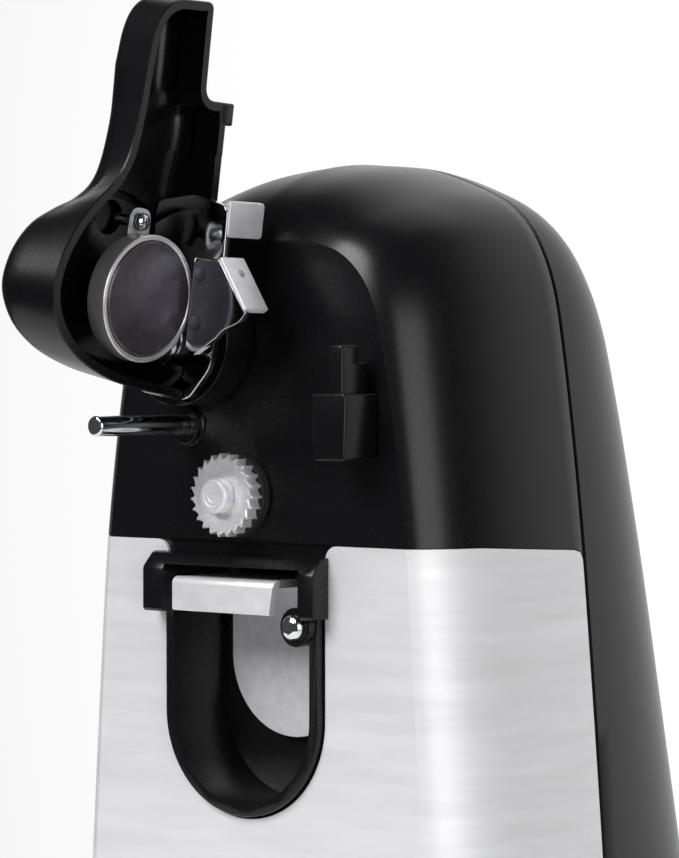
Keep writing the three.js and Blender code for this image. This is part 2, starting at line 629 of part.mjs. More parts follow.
function coverOutline(nosePoints) {
  const nose = nosePoints.map(([u, y]) => new THREE.Vector2(u, y));
  const shape = new THREE.Shape();
  shape.moveTo(nose[0].x, nose[0].y);
  shape.splineThru(nose.slice(1));
  shape.lineTo(63, nose[12].y + 0.9);
  shape.quadraticCurveTo(70.6, nose[12].y + 2.6, 71.6, -26);
  shape.lineTo(71.8, -18.4);
  shape.quadraticCurveTo(71.8, -16.6, 70, -16.6);
  shape.lineTo(54, -16.4);
  shape.quadraticCurveTo(51.4, -16, 51.3, -13.4);
  shape.lineTo(51.2, -9.3);
  shape.lineTo(-10.6, -9.3);
  shape.quadraticCurveTo(-13, -9.4, -13, -11);
  return shape;
}

// An outline's points moved inwards along the local normal.
function insetOutline(points, distance) {
  return points.map((point, index) => {
    const behind = points[(index + points.length - 1) % points.length];
    const ahead = points[(index + 1) % points.length];
    const tangent = ahead.clone().sub(behind).normalize();
    return new THREE.Vector2(point.x - tangent.y * distance, point.y + tangent.x * distance);
  });
}

// The tray form: full outline at the rim, rounded back, and lower over the handle.
function coverForm(inset, topW, bevel, cutW) {
  const rim = coverOutline(RIM_NOSE).getPoints(3);
  const back = coverOutline(BACK_NOSE).getPoints(3);
  if (THREE.ShapeUtils.isClockWise(rim)) [rim, back].forEach((points) => points.reverse());
  const layers = [[inset, cutW], [inset, topW - bevel]];
  if (cutW < COVER_RIM_W) layers.splice(1, 0, [inset, COVER_RIM_W]);
  for (let step = 1; step <= 3; step += 1) {
    const angle = (step / 3) * (Math.PI / 2);
    layers.push([inset + bevel * (1 - Math.cos(angle)), topW - bevel * (1 - Math.sin(angle))]);
  }
  const rings = layers.map(([distance, w]) => {
    const part = THREE.MathUtils.clamp((w - COVER_RIM_W) / 12, 0, 1);
    const outline = rim.map((point, index) => point.clone().lerp(back[index], part));
    return insetOutline(outline, distance).map((p) => {
      const slope = THREE.MathUtils.smoothstep(p.x, 20, 48);
      return new THREE.Vector3(p.x, w > 0 ? w - 3 * slope : w, p.y);
    });
  });
  return loftSolid(rings, rim).rotate([90, 0, 0]).mirror([0, 1, 0]);
}

function makeLeverCover() {
  const outer = coverForm(0, 8.2, 4.4, COVER_RIM_W);
  const inner = coverForm(2, 6.2, 3, -30);
  const guard = cut(
    rodZ(MAGNET.u, MAGNET.y, 21.6, -7.6, 8, 28),
    rodZ(MAGNET.u, MAGNET.y, 20, -12, 20, 28),
  );
  const ribs = [54.4, 63].map((u) => box(u - 0.8, u + 0.8, -34.6, -17, -6.2, 8));
  const boss = rodZ(MAGNET_SCREW.u, MAGNET_SCREW.y, 3.6, -2.1, 8, 14);
  const tab = box(46.4, 51.2, -11.4, -7.2, COVER_RIM_W, -3);
  const inside = join(guard, ...ribs, boss).intersect(coverForm(1, 7, 3.4, COVER_RIM_W));
  return mainBody(cut(
    join(cut(outer, inner), inside, tab),
    box(-20, 40, PLATE_Y[0] - 0.3, PLATE_Y[1] + 0.3, -30, 5.4),
    box(-9, 40, -14, -6, -30, -8.2),
    rodY(0, 0, 4.3, -20, 0, 20),
    rodY(0, 0, 6.4, -20, -11.6, 20),
    rodZ(MAGNET_SCREW.u, MAGNET_SCREW.y, 1.3, -4, 4.6, 10),
  ));
}

function makeLeverPlate() {
  const outline = roundedPolygon([
    [-12.4, -9.6], [-5, -15], [4, -16.2], [29.6, -15.6], [31.4, -6], [29, 4.8], [-12.4, 4.8],
  ], 1.6);
  const flange = box(23.2, 30.9, -13.6, -2.6, -15.9, -14.1);
  return cut(
    join(plateXZ(outline, PLATE_Y[0], PLATE_Y[1], 3), flange),
    rodY(0, 0, 4.03, -20, 0, 20),
    ...BLADE_RIVETS.map(([u, w]) => rodY(u, w, 1.63, -20, 0, 12)),
  );
}

const BLADE_RIVETS = [[4.6, -13], [15, -13]];

function makeCutterBlade() {
  const face = polygon([
    [18.4, -10.9], [18.2, -18.2], [8.2, -26.6], [6.3, -25.1], [4, -20.7], [2.2, -19.1],
    [-2.2, -13.4], [-1.6, -10.9],
  ]);
  const edge = new THREE.Vector2(18.2 - 8.2, -18.2 + 26.6);
  const fold = new THREE.BoxGeometry(edge.length(), 7.2, 1.6);
  fold.rotateY(-edge.angle()).translate(13.8, -13.9, -21.9);
  return cut(
    join(plateXZ(face, BLADE_Y[0], BLADE_Y[1]), toManifold(fold)),
    ...BLADE_RIVETS.map(([u, w]) => rodY(u, w, 1.63, -20, -15, 12)),
  );
}

addPiece('lever_hub', cut(
  turnedY(0, 0, [[0, -0.4], [14.2, -0.4], [14.8, -1], [14.8, -8.9], [0, -8.9]], 32),
  rodY(0, 0, 4.03, -20, 5, 20),
), 'blackPlastic', lever);
addPiece('lever_spindle', turnedY(0, 0, [
  [0, 17], [3.2, 17], [4, 16.2], [4, -14.3], [5.8, -14.3], [5.8, -15.4], [0, -15.4],
], 20), 'brightSteel', lever);
addPiece('lever_cover', makeLeverCover(), 'blackPlastic', lever);
addPiece('lever_plate', makeLeverPlate(), 'brightSteel', lever);
addPiece('cutter_blade', makeCutterBlade(), 'brightSteel', lever);
BLADE_RIVETS.forEach(([u, w], index) => {
  const profile = [[0, -11.9], [1.6, -11.9], [1.6, -14.1], [2.2, -14.1], [2.2, -15.7], [1.6, -15.7],
    [1.6, -17.6], [0, -17.6]];
  addPiece(`blade_rivet_${index + 1}`, turnedY(u, w, profile, 12), 'brightSteel', lever);
});

addPiece('magnet_screw', turnedZ(MAGNET_SCREW.u, MAGNET_SCREW.y, [
  [0, -5.2], [1.3, -4.9], [1.9, -4.3], [1.9, -3.7], [1.2, -3.7], [1.2, 3], [0, 4],
], 12), 'chrome', lever);

function makeMagnetArm() {
  const strip = roundedPolygon([[-4.5, -3.2], [18.8, -3.2], [18.8, 3.2], [-4.5, 3.2]], 2);
  const geometry = new THREE.ExtrudeGeometry(strip, { depth: 0.8, bevelEnabled: false, curveSegments: 4 });
  geometry.rotateZ(Math.atan2(MAGNET_SCREW.y - MAGNET.y, MAGNET_SCREW.u - MAGNET.u));
  geometry.translate(MAGNET.u, MAGNET.y, -3.3);
  return cut(toManifold(geometry), rodZ(MAGNET_SCREW.u, MAGNET_SCREW.y, 1.5, -6, 0, 12));
}

addPiece('magnet_arm', makeMagnetArm(), 'zincSteel', lever);
addPiece('magnet_cup', turnedZ(MAGNET.u, MAGNET.y, [
  [0, -3.6], [12.6, -3.6], [MAGNET.radius, -4.4], [MAGNET.radius, -9], [12.3, -9], [12.3, -4.6], [0, -4.6],
], 32), 'nickel', lever);
addPiece('lid_magnet', turnedZ(MAGNET.u, MAGNET.y, [
  [0, -4.7], [12.1, -4.7], [12.1, -9.1], [0, -9.1],
], 32), 'ferrite', lever);

export default assembly;
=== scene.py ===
"""Visual model of an upright electric can opener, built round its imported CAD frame.

Each sub-assembly is a class that holds its sizes in millimetres and builds its own pieces.
Inside the script the flat front wall is y = 0; Bench.to_row() turns that into the row frame.
"""

import json
import logging
import math
from collections.abc import Callable, Sequence
from dataclasses import dataclass, field
from enum import Enum

import bmesh
import bpy
from mathutils import Matrix, Vector

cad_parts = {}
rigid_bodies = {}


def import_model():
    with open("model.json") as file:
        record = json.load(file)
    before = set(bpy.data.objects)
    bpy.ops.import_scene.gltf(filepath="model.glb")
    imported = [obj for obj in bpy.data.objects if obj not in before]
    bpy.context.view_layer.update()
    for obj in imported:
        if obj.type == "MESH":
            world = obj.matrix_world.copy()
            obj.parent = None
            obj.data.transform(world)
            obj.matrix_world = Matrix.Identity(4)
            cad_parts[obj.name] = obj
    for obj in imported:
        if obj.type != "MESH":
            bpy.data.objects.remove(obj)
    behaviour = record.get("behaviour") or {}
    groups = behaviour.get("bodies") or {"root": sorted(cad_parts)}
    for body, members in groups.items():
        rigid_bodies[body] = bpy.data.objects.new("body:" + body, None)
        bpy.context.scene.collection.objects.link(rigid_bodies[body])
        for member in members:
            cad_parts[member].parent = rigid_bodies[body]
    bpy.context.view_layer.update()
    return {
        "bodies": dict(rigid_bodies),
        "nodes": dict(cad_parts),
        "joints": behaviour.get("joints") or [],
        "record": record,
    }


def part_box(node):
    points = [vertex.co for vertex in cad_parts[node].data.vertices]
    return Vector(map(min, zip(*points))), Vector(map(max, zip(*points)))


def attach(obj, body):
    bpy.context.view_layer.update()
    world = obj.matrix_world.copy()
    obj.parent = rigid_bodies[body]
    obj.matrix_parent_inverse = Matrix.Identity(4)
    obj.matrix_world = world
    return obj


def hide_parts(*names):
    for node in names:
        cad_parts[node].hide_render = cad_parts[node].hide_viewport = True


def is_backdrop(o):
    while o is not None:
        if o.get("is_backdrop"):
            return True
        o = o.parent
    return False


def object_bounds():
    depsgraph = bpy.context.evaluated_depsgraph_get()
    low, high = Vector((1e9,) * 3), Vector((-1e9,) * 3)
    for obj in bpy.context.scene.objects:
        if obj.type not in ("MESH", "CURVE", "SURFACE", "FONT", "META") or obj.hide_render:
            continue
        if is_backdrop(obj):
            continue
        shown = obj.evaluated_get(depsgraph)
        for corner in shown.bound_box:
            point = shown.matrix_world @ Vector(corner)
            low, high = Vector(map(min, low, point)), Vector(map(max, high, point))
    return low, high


LOG = logging.getLogger("can_opener")
MM = 0.001
LEVER_REST_DEG = -82.0  # the lever is drawn closed, then stored raised

Point2 = tuple[float, float]
Ring = list[Vector]


class Axis(Enum):
    """The axis that a turned piece is round."""

    Y = "Y"
    Z = "Z"


# ---------------------------------------------------------------- nodes and colours


def linear(hex_colour: str) -> tuple[float, float, float, float]:
    """Turns an sRGB colour into the linear one that shaders use.

    Args:
        hex_colour: Six hex digits, with or without a leading hash.

    Returns:
        Linear red, green, blue and an alpha of one.
    """
    digits = hex_colour.lstrip("#")
    channels = [int(digits[i : i + 2], 16) / 255 for i in (0, 2, 4)]
    red, green, blue = (c / 12.92 if c <= 0.04045 else ((c + 0.055) / 1.055) ** 2.4 for c in channels)
    return red, green, blue, 1.0


def add_node(tree: bpy.types.NodeTree, kind: str, inputs: dict | None = None, **settings: object) -> bpy.types.Node:
    """Adds a node with its settings and links.

    Args:
        tree: The node tree.
        kind: The node's type name.
        inputs: Values or output sockets by input name or index.
        settings: The node's own properties.

    Returns:
        The new node.
    """
    node = tree.nodes.new(kind)
    for name, value in settings.items():
        setattr(node, name, value)
    for name, value in (inputs or {}).items():
        if isinstance(value, bpy.types.NodeSocket):
            tree.links.new(value, node.inputs[name])
        else:
            node.inputs[name].default_value = value
    return node


def new_material(name: str) -> tuple[bpy.types.Material, bpy.types.NodeTree]:
    """Makes an empty node material.

    Args:
        name: The material's name.

    Returns:
        The material and its cleared node tree.
    """
    material = bpy.data.materials.new(name)
    material.use_nodes = True
    material.node_tree.nodes.clear()
    return material, material.node_tree


@dataclass(frozen=True)
class Grain:
    """A noise pattern in real millimetres, stretched along chosen axes."""

    size_mm: float
    stretch: tuple[float, float, float] = (1.0, 1.0, 1.0)
    detail: float = 3.0

    def add(self, tree: bpy.types.NodeTree) -> bpy.types.NodeSocket:
        """Adds the pattern to a tree.

        Args:
            tree: The material's node tree.

        Returns:
            The pattern's value, from about 0.25 to 0.75.
        """
        place = add_node(tree, "ShaderNodeTexCoord").outputs["Object"]
        per_metre = 1.0 / (self.size_mm * MM)
        scaled = add_node(
            tree, "ShaderNodeMapping", {"Vector": place, "Scale": [per_metre / s for s in self.stretch]}
        )
        return add_node(
            tree,
            "ShaderNodeTexNoise",
            {"Vector": scaled.outputs["Vector"], "Scale": 1.0, "Detail": self.detail, "Roughness": 0.6},
        ).outputs["Fac"]


@dataclass(frozen=True)
class Finish:
    """One real surface: its colour range, gloss range and fine relief."""

    name: str
    slot: str
    dark: str
    light: str
    roughness: tuple[float, float]
    tint: Grain
    relief: Grain
    relief_mm: float
    metallic: float = 0.0
    ior: float = 1.5
    specular: float = 0.5
    anisotropy: float = 0.0
    coat: float = 0.0

    def build(self) -> bpy.types.Material:
        """Makes the node material.

        Returns:
            The finished material.
        """
        material, tree = new_material(self.name)
        tone = self.tint.add(tree)
        colour = add_node(tree, "ShaderNodeValToRGB", {"Fac": tone})
        ramp = colour.color_ramp.elements
        ramp[0].position, ramp[1].position = 0.3, 0.7
        ramp[0].color, ramp[1].color = linear(self.dark), linear(self.light)
        grain = self.relief.add(tree)
        gloss = add_node(
            tree,
            "ShaderNodeMapRange",
            {"Value": grain, "From Min": 0.3, "From Max": 0.7, "To Min": self.roughness[0], "To Max": self.roughness[1]},
        )
        bump = add_node(
            tree, "ShaderNodeBump", {"Height": grain, "Distance": self.relief_mm * MM, "Strength": 1.0}
        )
        constants: dict = {"Metallic": self.metallic, "Specular IOR Level": self.specular}
        if self.metallic < 1.0:
            constants["IOR"] = self.ior
        if self.anisotropy:
            constants["Anisotropic"] = self.anisotropy
            tangent = add_node(tree, "ShaderNodeTangent", direction_type="RADIAL", axis="Z")
            constants["Tangent"] = tangent.outputs["Tangent"]
        if self.coat:
            constants["Coat Weight"] = self.coat
            constants["Coat Roughness"] = 0.08
        shader = add_node(
            tree,
            "ShaderNodeBsdfPrincipled",
            {
                "Base Color": colour.outputs["Color"],
                "Roughness": gloss.outputs["Result"],
                "Normal": bump.outputs["Normal"],
                **constants,
            },
        )
        add_node(tree, "ShaderNodeOutputMaterial", {"Surface": shader.outputs["BSDF"]})
        return material


# Moulded ABS with a fine spark-eroded mould texture: satin black, with a soft broad highlight.
MOULDED_ABS = Finish(
    "Moulded_black_ABS", "black_plastic", "#08080a", "#0c0c0e", (0.26, 0.31),
    Grain(35.0, detail=1.0), Grain(0.7), 0.0015, ior=1.46, specular=0.36,
)  # fmt: skip
# The same ABS from a polished mould: deeper black, and sharper highlights.
POLISHED_ABS = Finish(
    "Polished_black_ABS", "black_plastic", "#070708", "#0b0b0c", (0.16, 0.24),
    Grain(25.0, detail=1.0), Grain(1.2), 0.003, ior=1.47, specular=0.45,
)  # fmt: skip
# Cold-rolled stainless sheet brushed along its width: long hair lines, and a soft stretched gleam.
BRUSHED_STAINLESS = Finish(
    "Brushed_stainless_sheet", "brushed_steel", "#d9d9da", "#e6e6e8", (0.42, 0.54),
    Grain(4.0, (9.0, 9.0, 1.0), 4.0), Grain(0.16, (90.0, 90.0, 1.0), 4.0), 0.003,
    metallic=0.4, anisotropy=0.3,
)  # fmt: skip
# Stamped and tumbled steel: bright, with faint rolling marks.
STAMPED_STEEL = Finish(
    "Stamped_bright_steel", "bright_steel", "#b9bbbf", "#d5d7da", (0.16, 0.30),
    Grain(3.0, (1.0, 1.0, 3.0)), Grain(0.3, (1.0, 1.0, 5.0)), 0.006, metallic=1.0,
)  # fmt: skip
# Hardened cutter steel, ground matt: pale and even.
GROUND_STEEL = Finish(
    "Ground_hard_steel", "bright_steel", "#dcdcde", "#efeef0", (0.36, 0.48),
    Grain(1.2), Grain(0.14), 0.006, metallic=0.6,
)  # fmt: skip
# Polished tool steel with almost no marks: a dark mirror where it faces the dim side of a room.
POLISHED_STEEL = Finish(
    "Polished_tool_steel", "bright_steel", "#b4b6ba", "#c8cacd", (0.07, 0.13),
    Grain(9.0), Grain(3.0), 0.0015, metallic=1.0,
)  # fmt: skip
# Bead-blasted steel edge: pale, even and half matt.
SATIN_STEEL = Finish(
    "Satin_blasted_steel", "bright_steel", "#dddde0", "#ecebee", (0.42, 0.5),
    Grain(3.0), Grain(0.2), 0.004, metallic=0.45,
)  # fmt: skip
# Bright chromium plate on steel: mirror gloss with a slight waviness.
CHROME_PLATE = Finish(
    "Chrome_plate", "chrome", "#d6d9dd", "#e6e8ea", (0.05, 0.10),
    Grain(6.0), Grain(2.0), 0.003, metallic=1.0,
)  # fmt: skip
# Bright nickel plate on a pressed cup: a warm mirror with drawing marks round it.
NICKEL_PLATE = Finish(
    "Nickel_plate", "nickel", "#dad8d6", "#e9e7e5", (0.28, 0.38),
    Grain(3.0), Grain(0.4), 0.003, metallic=0.7,
)  # fmt: skip
# Sintered ferrite, ground flat and sealed: dark grey-violet with a low sheen.
SEALED_FERRITE = Finish(
    "Sealed_ferrite", "ferrite", "#37333b", "#4c4751", (0.24, 0.36),
    Grain(2.5), Grain(0.25), 0.004, ior=1.6, specular=0.6, metallic=0.35,
)  # fmt: skip
# Moulded nitrile rubber: black, matt and slightly dusty.
MOULDED_RUBBER = Finish(
    "Moulded_rubber", "rubber", "#1b1b1c", "#262627", (0.7, 0.85),
    Grain(6.0), Grain(0.4), 0.02, ior=1.5, specular=0.35,
)  # fmt: skip
# Natural moulded nylon: warm white, with a waxy sheen.
NATURAL_NYLON = Finish(
    "Natural_nylon", "nylon", "#dedacd", "#ebe8df", (0.42, 0.55),
    Grain(9.0), Grain(0.6), 0.006, ior=1.53,
)  # fmt: skip
# Zinc plate on steel: pale blue-grey with a fine spangle.
ZINC_PLATE = Finish(
    "Zinc_plated_steel", "zinc_steel", "#9fa3a8", "#c0c3c6", (0.3, 0.45),
    Grain(1.6), Grain(0.3), 0.006, metallic=1.0,
)  # fmt: skip
# Stacked silicon-steel sheets: dark edges in thin layers across the stack.
STACKED_LAMINATIONS = Finish(
    "Stacked_laminations", "lamination", "#4b4e52", "#7c8085", (0.45, 0.6),
    Grain(0.5, (60.0, 1.0, 60.0)), Grain(0.5, (60.0, 1.0, 60.0)), 0.05, metallic=0.9,
)  # fmt: skip
# Enamelled copper winding: varnished turns round the core.
ENAMELLED_COPPER = Finish(
    "Enamelled_copper_winding", "copper", "#7d3a1b", "#b5652f", (0.22, 0.35),
    Grain(0.45, (1.0, 1.0, 40.0)), Grain(0.45, (1.0, 1.0, 40.0)), 0.06, metallic=0.85, coat=0.6,
)  # fmt: skip
# Turned brass: yellow, with fine tool marks.
TURNED_BRASS = Finish(
    "Turned_brass", "brass", "#a98341", "#c7a25c", (0.25, 0.38),
    Grain(2.0), Grain(0.2, (12.0, 1.0, 12.0)), 0.005, metallic=1.0,
)  # fmt: skip
FINISHES = (
    MOULDED_ABS, POLISHED_ABS, BRUSHED_STAINLESS, STAMPED_STEEL, POLISHED_STEEL,
    SATIN_STEEL, GROUND_STEEL, CHROME_PLATE,
    NICKEL_PLATE, SEALED_FERRITE, MOULDED_RUBBER, NATURAL_NYLON, ZINC_PLATE, STACKED_LAMINATIONS,
    ENAMELLED_COPPER, TURNED_BRASS,
)  # fmt: skip


class Paintshop:
    """Keeps one material for each finish."""

    def __init__(self) -> None:
        """Makes every material once."""
        self.materials = {finish.name: finish.build() for finish in FINISHES}
        self.by_slot = {finish.slot: finish for finish in reversed(FINISHES)}

    def material(self, finish: Finish) -> bpy.types.Material:
        """Returns the material of a finish."""
        return self.materials[finish.name]


# ---------------------------------------------------------------- outlines


def centripetal(points: Sequence[Point2], steps: int) -> list[Point2]:
    """Draws a centripetal Catmull-Rom curve through points.

    Args:
        points: The points that the curve passes through.
        steps: How many steps the whole curve is cut into.

    Returns:
        The curve's points, steps + 1 of them.
    """
    known = [Vector(p) for p in points]
    known = [known[0] * 2 - known[1], *known, known[-1] * 2 - known[-2]]
    spans = len(points) - 1
    curve = []
    for step in range(steps + 1):
        along = step / steps * spans
        span = min(int(along), spans - 1)
        weight = along - span
        p0, p1, p2, p3 = known[span : span + 4]
        gaps = [max((b - a).length, 1e-6) ** 0.5 for a, b in ((p0, p1), (p1, p2), (p2, p3))]
        start = ((p1 - p0) / gaps[0] - (p2 - p0) / (gaps[0] + gaps[1]) + (p2 - p1) / gaps[1]) * gaps[1]
        stop = ((p2 - p1) / gaps[1] - (p3 - p1) / (gaps[1] + gaps[2]) + (p3 - p2) / gaps[2]) * gaps[1]
        square = -3 * p1 + 3 * p2 - 2 * start - stop
        cube = 2 * p1 - 2 * p2 + start + stop
        curve.append(tuple(p1 + start * weight + square * weight**2 + cube * weight**3))
    return curve


def rounded(points: Sequence[Point2], radius: float, steps: int = 4) -> list[Point2]:
    """Rounds every corner of a closed polygon.

    Args:
        points: The corners in order.
        radius: How far from each corner its curve starts.
        steps: Steps in each corner's curve.

    Returns:
        The rounded outline.
    """
    outline = []
    for index, corner in enumerate(points):
        here, before, after = Vector(corner), Vector(points[index - 1]), Vector(points[(index + 1) % len(points)])
        start = here + (before - here).normalized() * min(radius, (before - here).length * 0.49)
        stop = here + (after - here).normalized() * min(radius, (after - here).length * 0.49)
        for step in range(steps + 1):
            t = step / steps
            outline.append(tuple(start * (1 - t) ** 2 + here * 2 * t * (1 - t) + stop * t**2))
    return outline


def arc(centre: Point2, radius: float, start_deg: float, stop_deg: float, steps: int = 24) -> list[Point2]:
    """Returns points along a circle's arc, with both ends.

    Args:
        centre: The arc's centre.
        radius: Its radius.
        start_deg: The first point's angle.
        stop_deg: The last point's angle.
        steps: How many steps it is cut into.

    Returns:
        The points.
    """
    angles = [math.radians(start_deg + (stop_deg - start_deg) * i / steps) for i in range(steps + 1)]
    return [(centre[0] + radius * math.cos(a), centre[1] + radius * math.sin(a)) for a in angles]


def is_clockwise(points: Sequence[Point2]) -> bool:
    """Tells which way an outline runs."""
    return sum(a[0] * b[1] - b[0] * a[1] for a, b in zip(points, [*points[1:], points[0]])) < 0


def inset(points: Sequence[Point2], distance: float, window: int = 1) -> list[Point2]:
    """Moves an anticlockwise outline inwards along its smoothed normal.

    Args:
        points: The outline.
        distance: How far in.
        window: How many points on each side set the direction.

    Returns:
        The moved outline.
    """
    size = len(points)
    moved = []
    for index, point in enumerate(points):
        ahead, behind = Vector(points[(index + window) % size]), Vector(points[index - window])
        along = (ahead - behind).normalized()
        moved.append((point[0] - along.y * distance, point[1] + along.x * distance))
    return moved


# ---------------------------------------------------------------- solids


class Solid:
    """A closed mesh in the part's own millimetres, before it becomes a piece."""

    def __init__(self, mesh: bpy.types.Mesh) -> None:
        """Keeps the mesh."""
        self.mesh = mesh

    @classmethod
    def loft(cls, rings: Sequence[Ring], looped: bool = False) -> "Solid":
        """Skins a stack of equal rings.

        Args:
            rings: The rings in order.
            looped: Whether the last ring joins the first, with no ends.

        Returns:
            The closed solid.
        """
        shape = bmesh.new()
        rows = [[shape.verts.new(p) for p in ring] for ring in rings]
        pairs = list(zip(rows, rows[1:])) + ([(rows[-1], rows[0])] if looped else [])
        for low, high in pairs:
            for i in range(len(low)):
                j = (i + 1) % len(low)
                shape.faces.new((low[i], low[j], high[j], high[i]))
        if not looped:
            for row, ring in ((rows[0], rings[0]), (rows[-1], rings[-1])):
                if (ring[0] - ring[len(ring) // 2]).length > 1e-4:
                    shape.faces.new(row)
        bmesh.ops.remove_doubles(shape, verts=shape.verts, dist=1e-5)
        bmesh.ops.recalc_face_normals(shape, faces=shape.faces)
        mesh = bpy.data.meshes.new("solid")
        shape.to_mesh(mesh)
        shape.free()
        return cls(mesh)

    @classmethod
    def prism(
        cls, outline: Sequence[Point2], low: float, high: float, edge: float = 0.0, axis: Axis = Axis.Y
    ) -> "Solid":
        """Gives a flat outline thickness, with rounded rims.

        Args:
            outline: (x, z) points for axis Y, or (x, y) points for axis Z.
            low: Where the thickness starts.
            high: Where it ends.
            edge: The rims' rounding radius.
            axis: The direction of the thickness.

        Returns:
            The closed solid.
        """
        points = list(reversed(outline)) if is_clockwise(outline) else list(outline)
        layers = [(0.0, low), (0.0, high)]
        if edge:
            turns = [math.radians(90 * i / 3) for i in range(4)]
            layers = [(edge * (1 - math.sin(t)), low + edge * (1 - math.cos(t))) for t in turns]
            layers += [(edge * (1 - math.cos(t)), high - edge * (1 - math.sin(t))) for t in turns]
        rings = []
        for distance, level in layers:
            moved = inset(points, distance) if distance else points
            rings.append([Vector((a, level, b)) if axis is Axis.Y else Vector((a, b, level)) for a, b in moved])
        return cls.loft(rings)

    @classmethod
    def block(cls, x: Point2, y: Point2, z: Point2, edge: float = 0.0) -> "Solid":
        """Makes a box from its x, y and z ranges, with rounded edges.

        Args:
            x: Lowest and highest x.
            y: Lowest and highest y.
            z: Lowest and highest z.
            edge: The edges' rounding radius.

        Returns:
            The closed solid.
        """
        corners = [(x[0], z[0]), (x[1], z[0]), (x[1], z[1]), (x[0], z[1])]
        return cls.prism(rounded(corners, edge * 1.4, 3) if edge else corners, y[0], y[1], edge)

    @classmethod
    def turned(
        cls, centre: Point2, profile: Sequence[Point2], axis: Axis = Axis.Y, sides: int = 64, edge: float = 0.0,
        looped: bool = False,
    ) -> "Solid":  # fmt: skip
        """Turns a (radius, height) profile round an axis.

        Args:
            centre: The axis's place in its plane.
            profile: The profile's points.
            axis: Y or Z.
            sides: How many sides the round has.
            edge: Rounding of the profile's corners off the axis.
            looped: Whether the profile closes up and leaves a bore.

        Returns:
            The closed solid.
        """
        points = list(profile)
        if edge:
            soft = rounded(points, edge, 3)
            if not looped:
                soft = [points[0], *soft[4:-4], points[-1]]
            points = soft
        rings = []
        for radius, level in points:
            circle = arc(centre, max(radius, 0.0), 0, 360 * (1 - 1 / sides), sides - 1)
            rings.append([Vector((a, level, b)) if axis is Axis.Y else Vector((a, b, level)) for a, b in circle])
        return cls.loft(rings, looped)

    @classmethod
    def rod(
        cls, centre: Point2, radius: float, low: float, high: float, axis: Axis = Axis.Y, sides: int = 64
    ) -> "Solid":
        """Makes a plain round bar, to join to or cut from other solids."""
        return cls.turned(centre, [(0, low), (radius, low), (radius, high), (0, high)], axis, sides)

    def _changed(self, kind: str, others: Sequence["Solid"] = (), **settings: object) -> "Solid":
        """Runs one modifier on the solid.

        Args:
            kind: The modifier's type.
            others: A second solid for a Boolean.
            settings: The modifier's settings.

        Returns:
            The changed solid.
        """
        objects = [bpy.data.objects.new("work", s.mesh) for s in (self, *others)]
        for obj in objects:
            bpy.context.scene.collection.objects.link(obj)
        modifier = objects[0].modifiers.new("Step", kind)
        if others:
            modifier.object = objects[1]
        for name, value in settings.items():
            setattr(modifier, name, value)
        graph = bpy.context.evaluated_depsgraph_get()
        mesh = bpy.data.meshes.new_from_object(objects[0].evaluated_get(graph))
        for obj in objects:
            bpy.data.objects.remove(obj)
        return Solid(mesh)

    def cut(self, *tools: "Solid") -> "Solid":
        """Takes other solids away from this one."""
        result = self
        for tool in tools:
            result = result._changed("BOOLEAN", (tool,), operation="DIFFERENCE", solver="EXACT")
        return result

    def join(self, *others: "Solid") -> "Solid":
        """Adds other solids to this one."""
        result = self
        for other in others:
            result = result._changed("BOOLEAN", (other,), operation="UNION", solver="EXACT")
        return result

    def common(self, other: "Solid") -> "Solid":
        """Keeps what this solid shares with another."""
        return self._changed("BOOLEAN", (other,), operation="INTERSECT", solver="EXACT")

    def softened(self, width: float, angle_deg: float = 40.0, segments: int = 2) -> "Solid":
        """Rounds the solid's hard edges.

        Args:
            width: The rounding's width.
            angle_deg: Edges sharper than this are rounded.
            segments: Steps in the rounding.

        Returns:
            The rounded solid.
        """
        return self._changed(
            "BEVEL", width=width, segments=segments, limit_method="ANGLE", angle_limit=math.radians(angle_deg),
            use_clamp_overlap=True, miter_outer="MITER_ARC",
        )  # fmt: skip

    def moved(self, matrix: Matrix) -> "Solid":
        """Moves the solid by a matrix and returns it."""
        self.mesh.transform(matrix)
        return self


# ---------------------------------------------------------------- frame


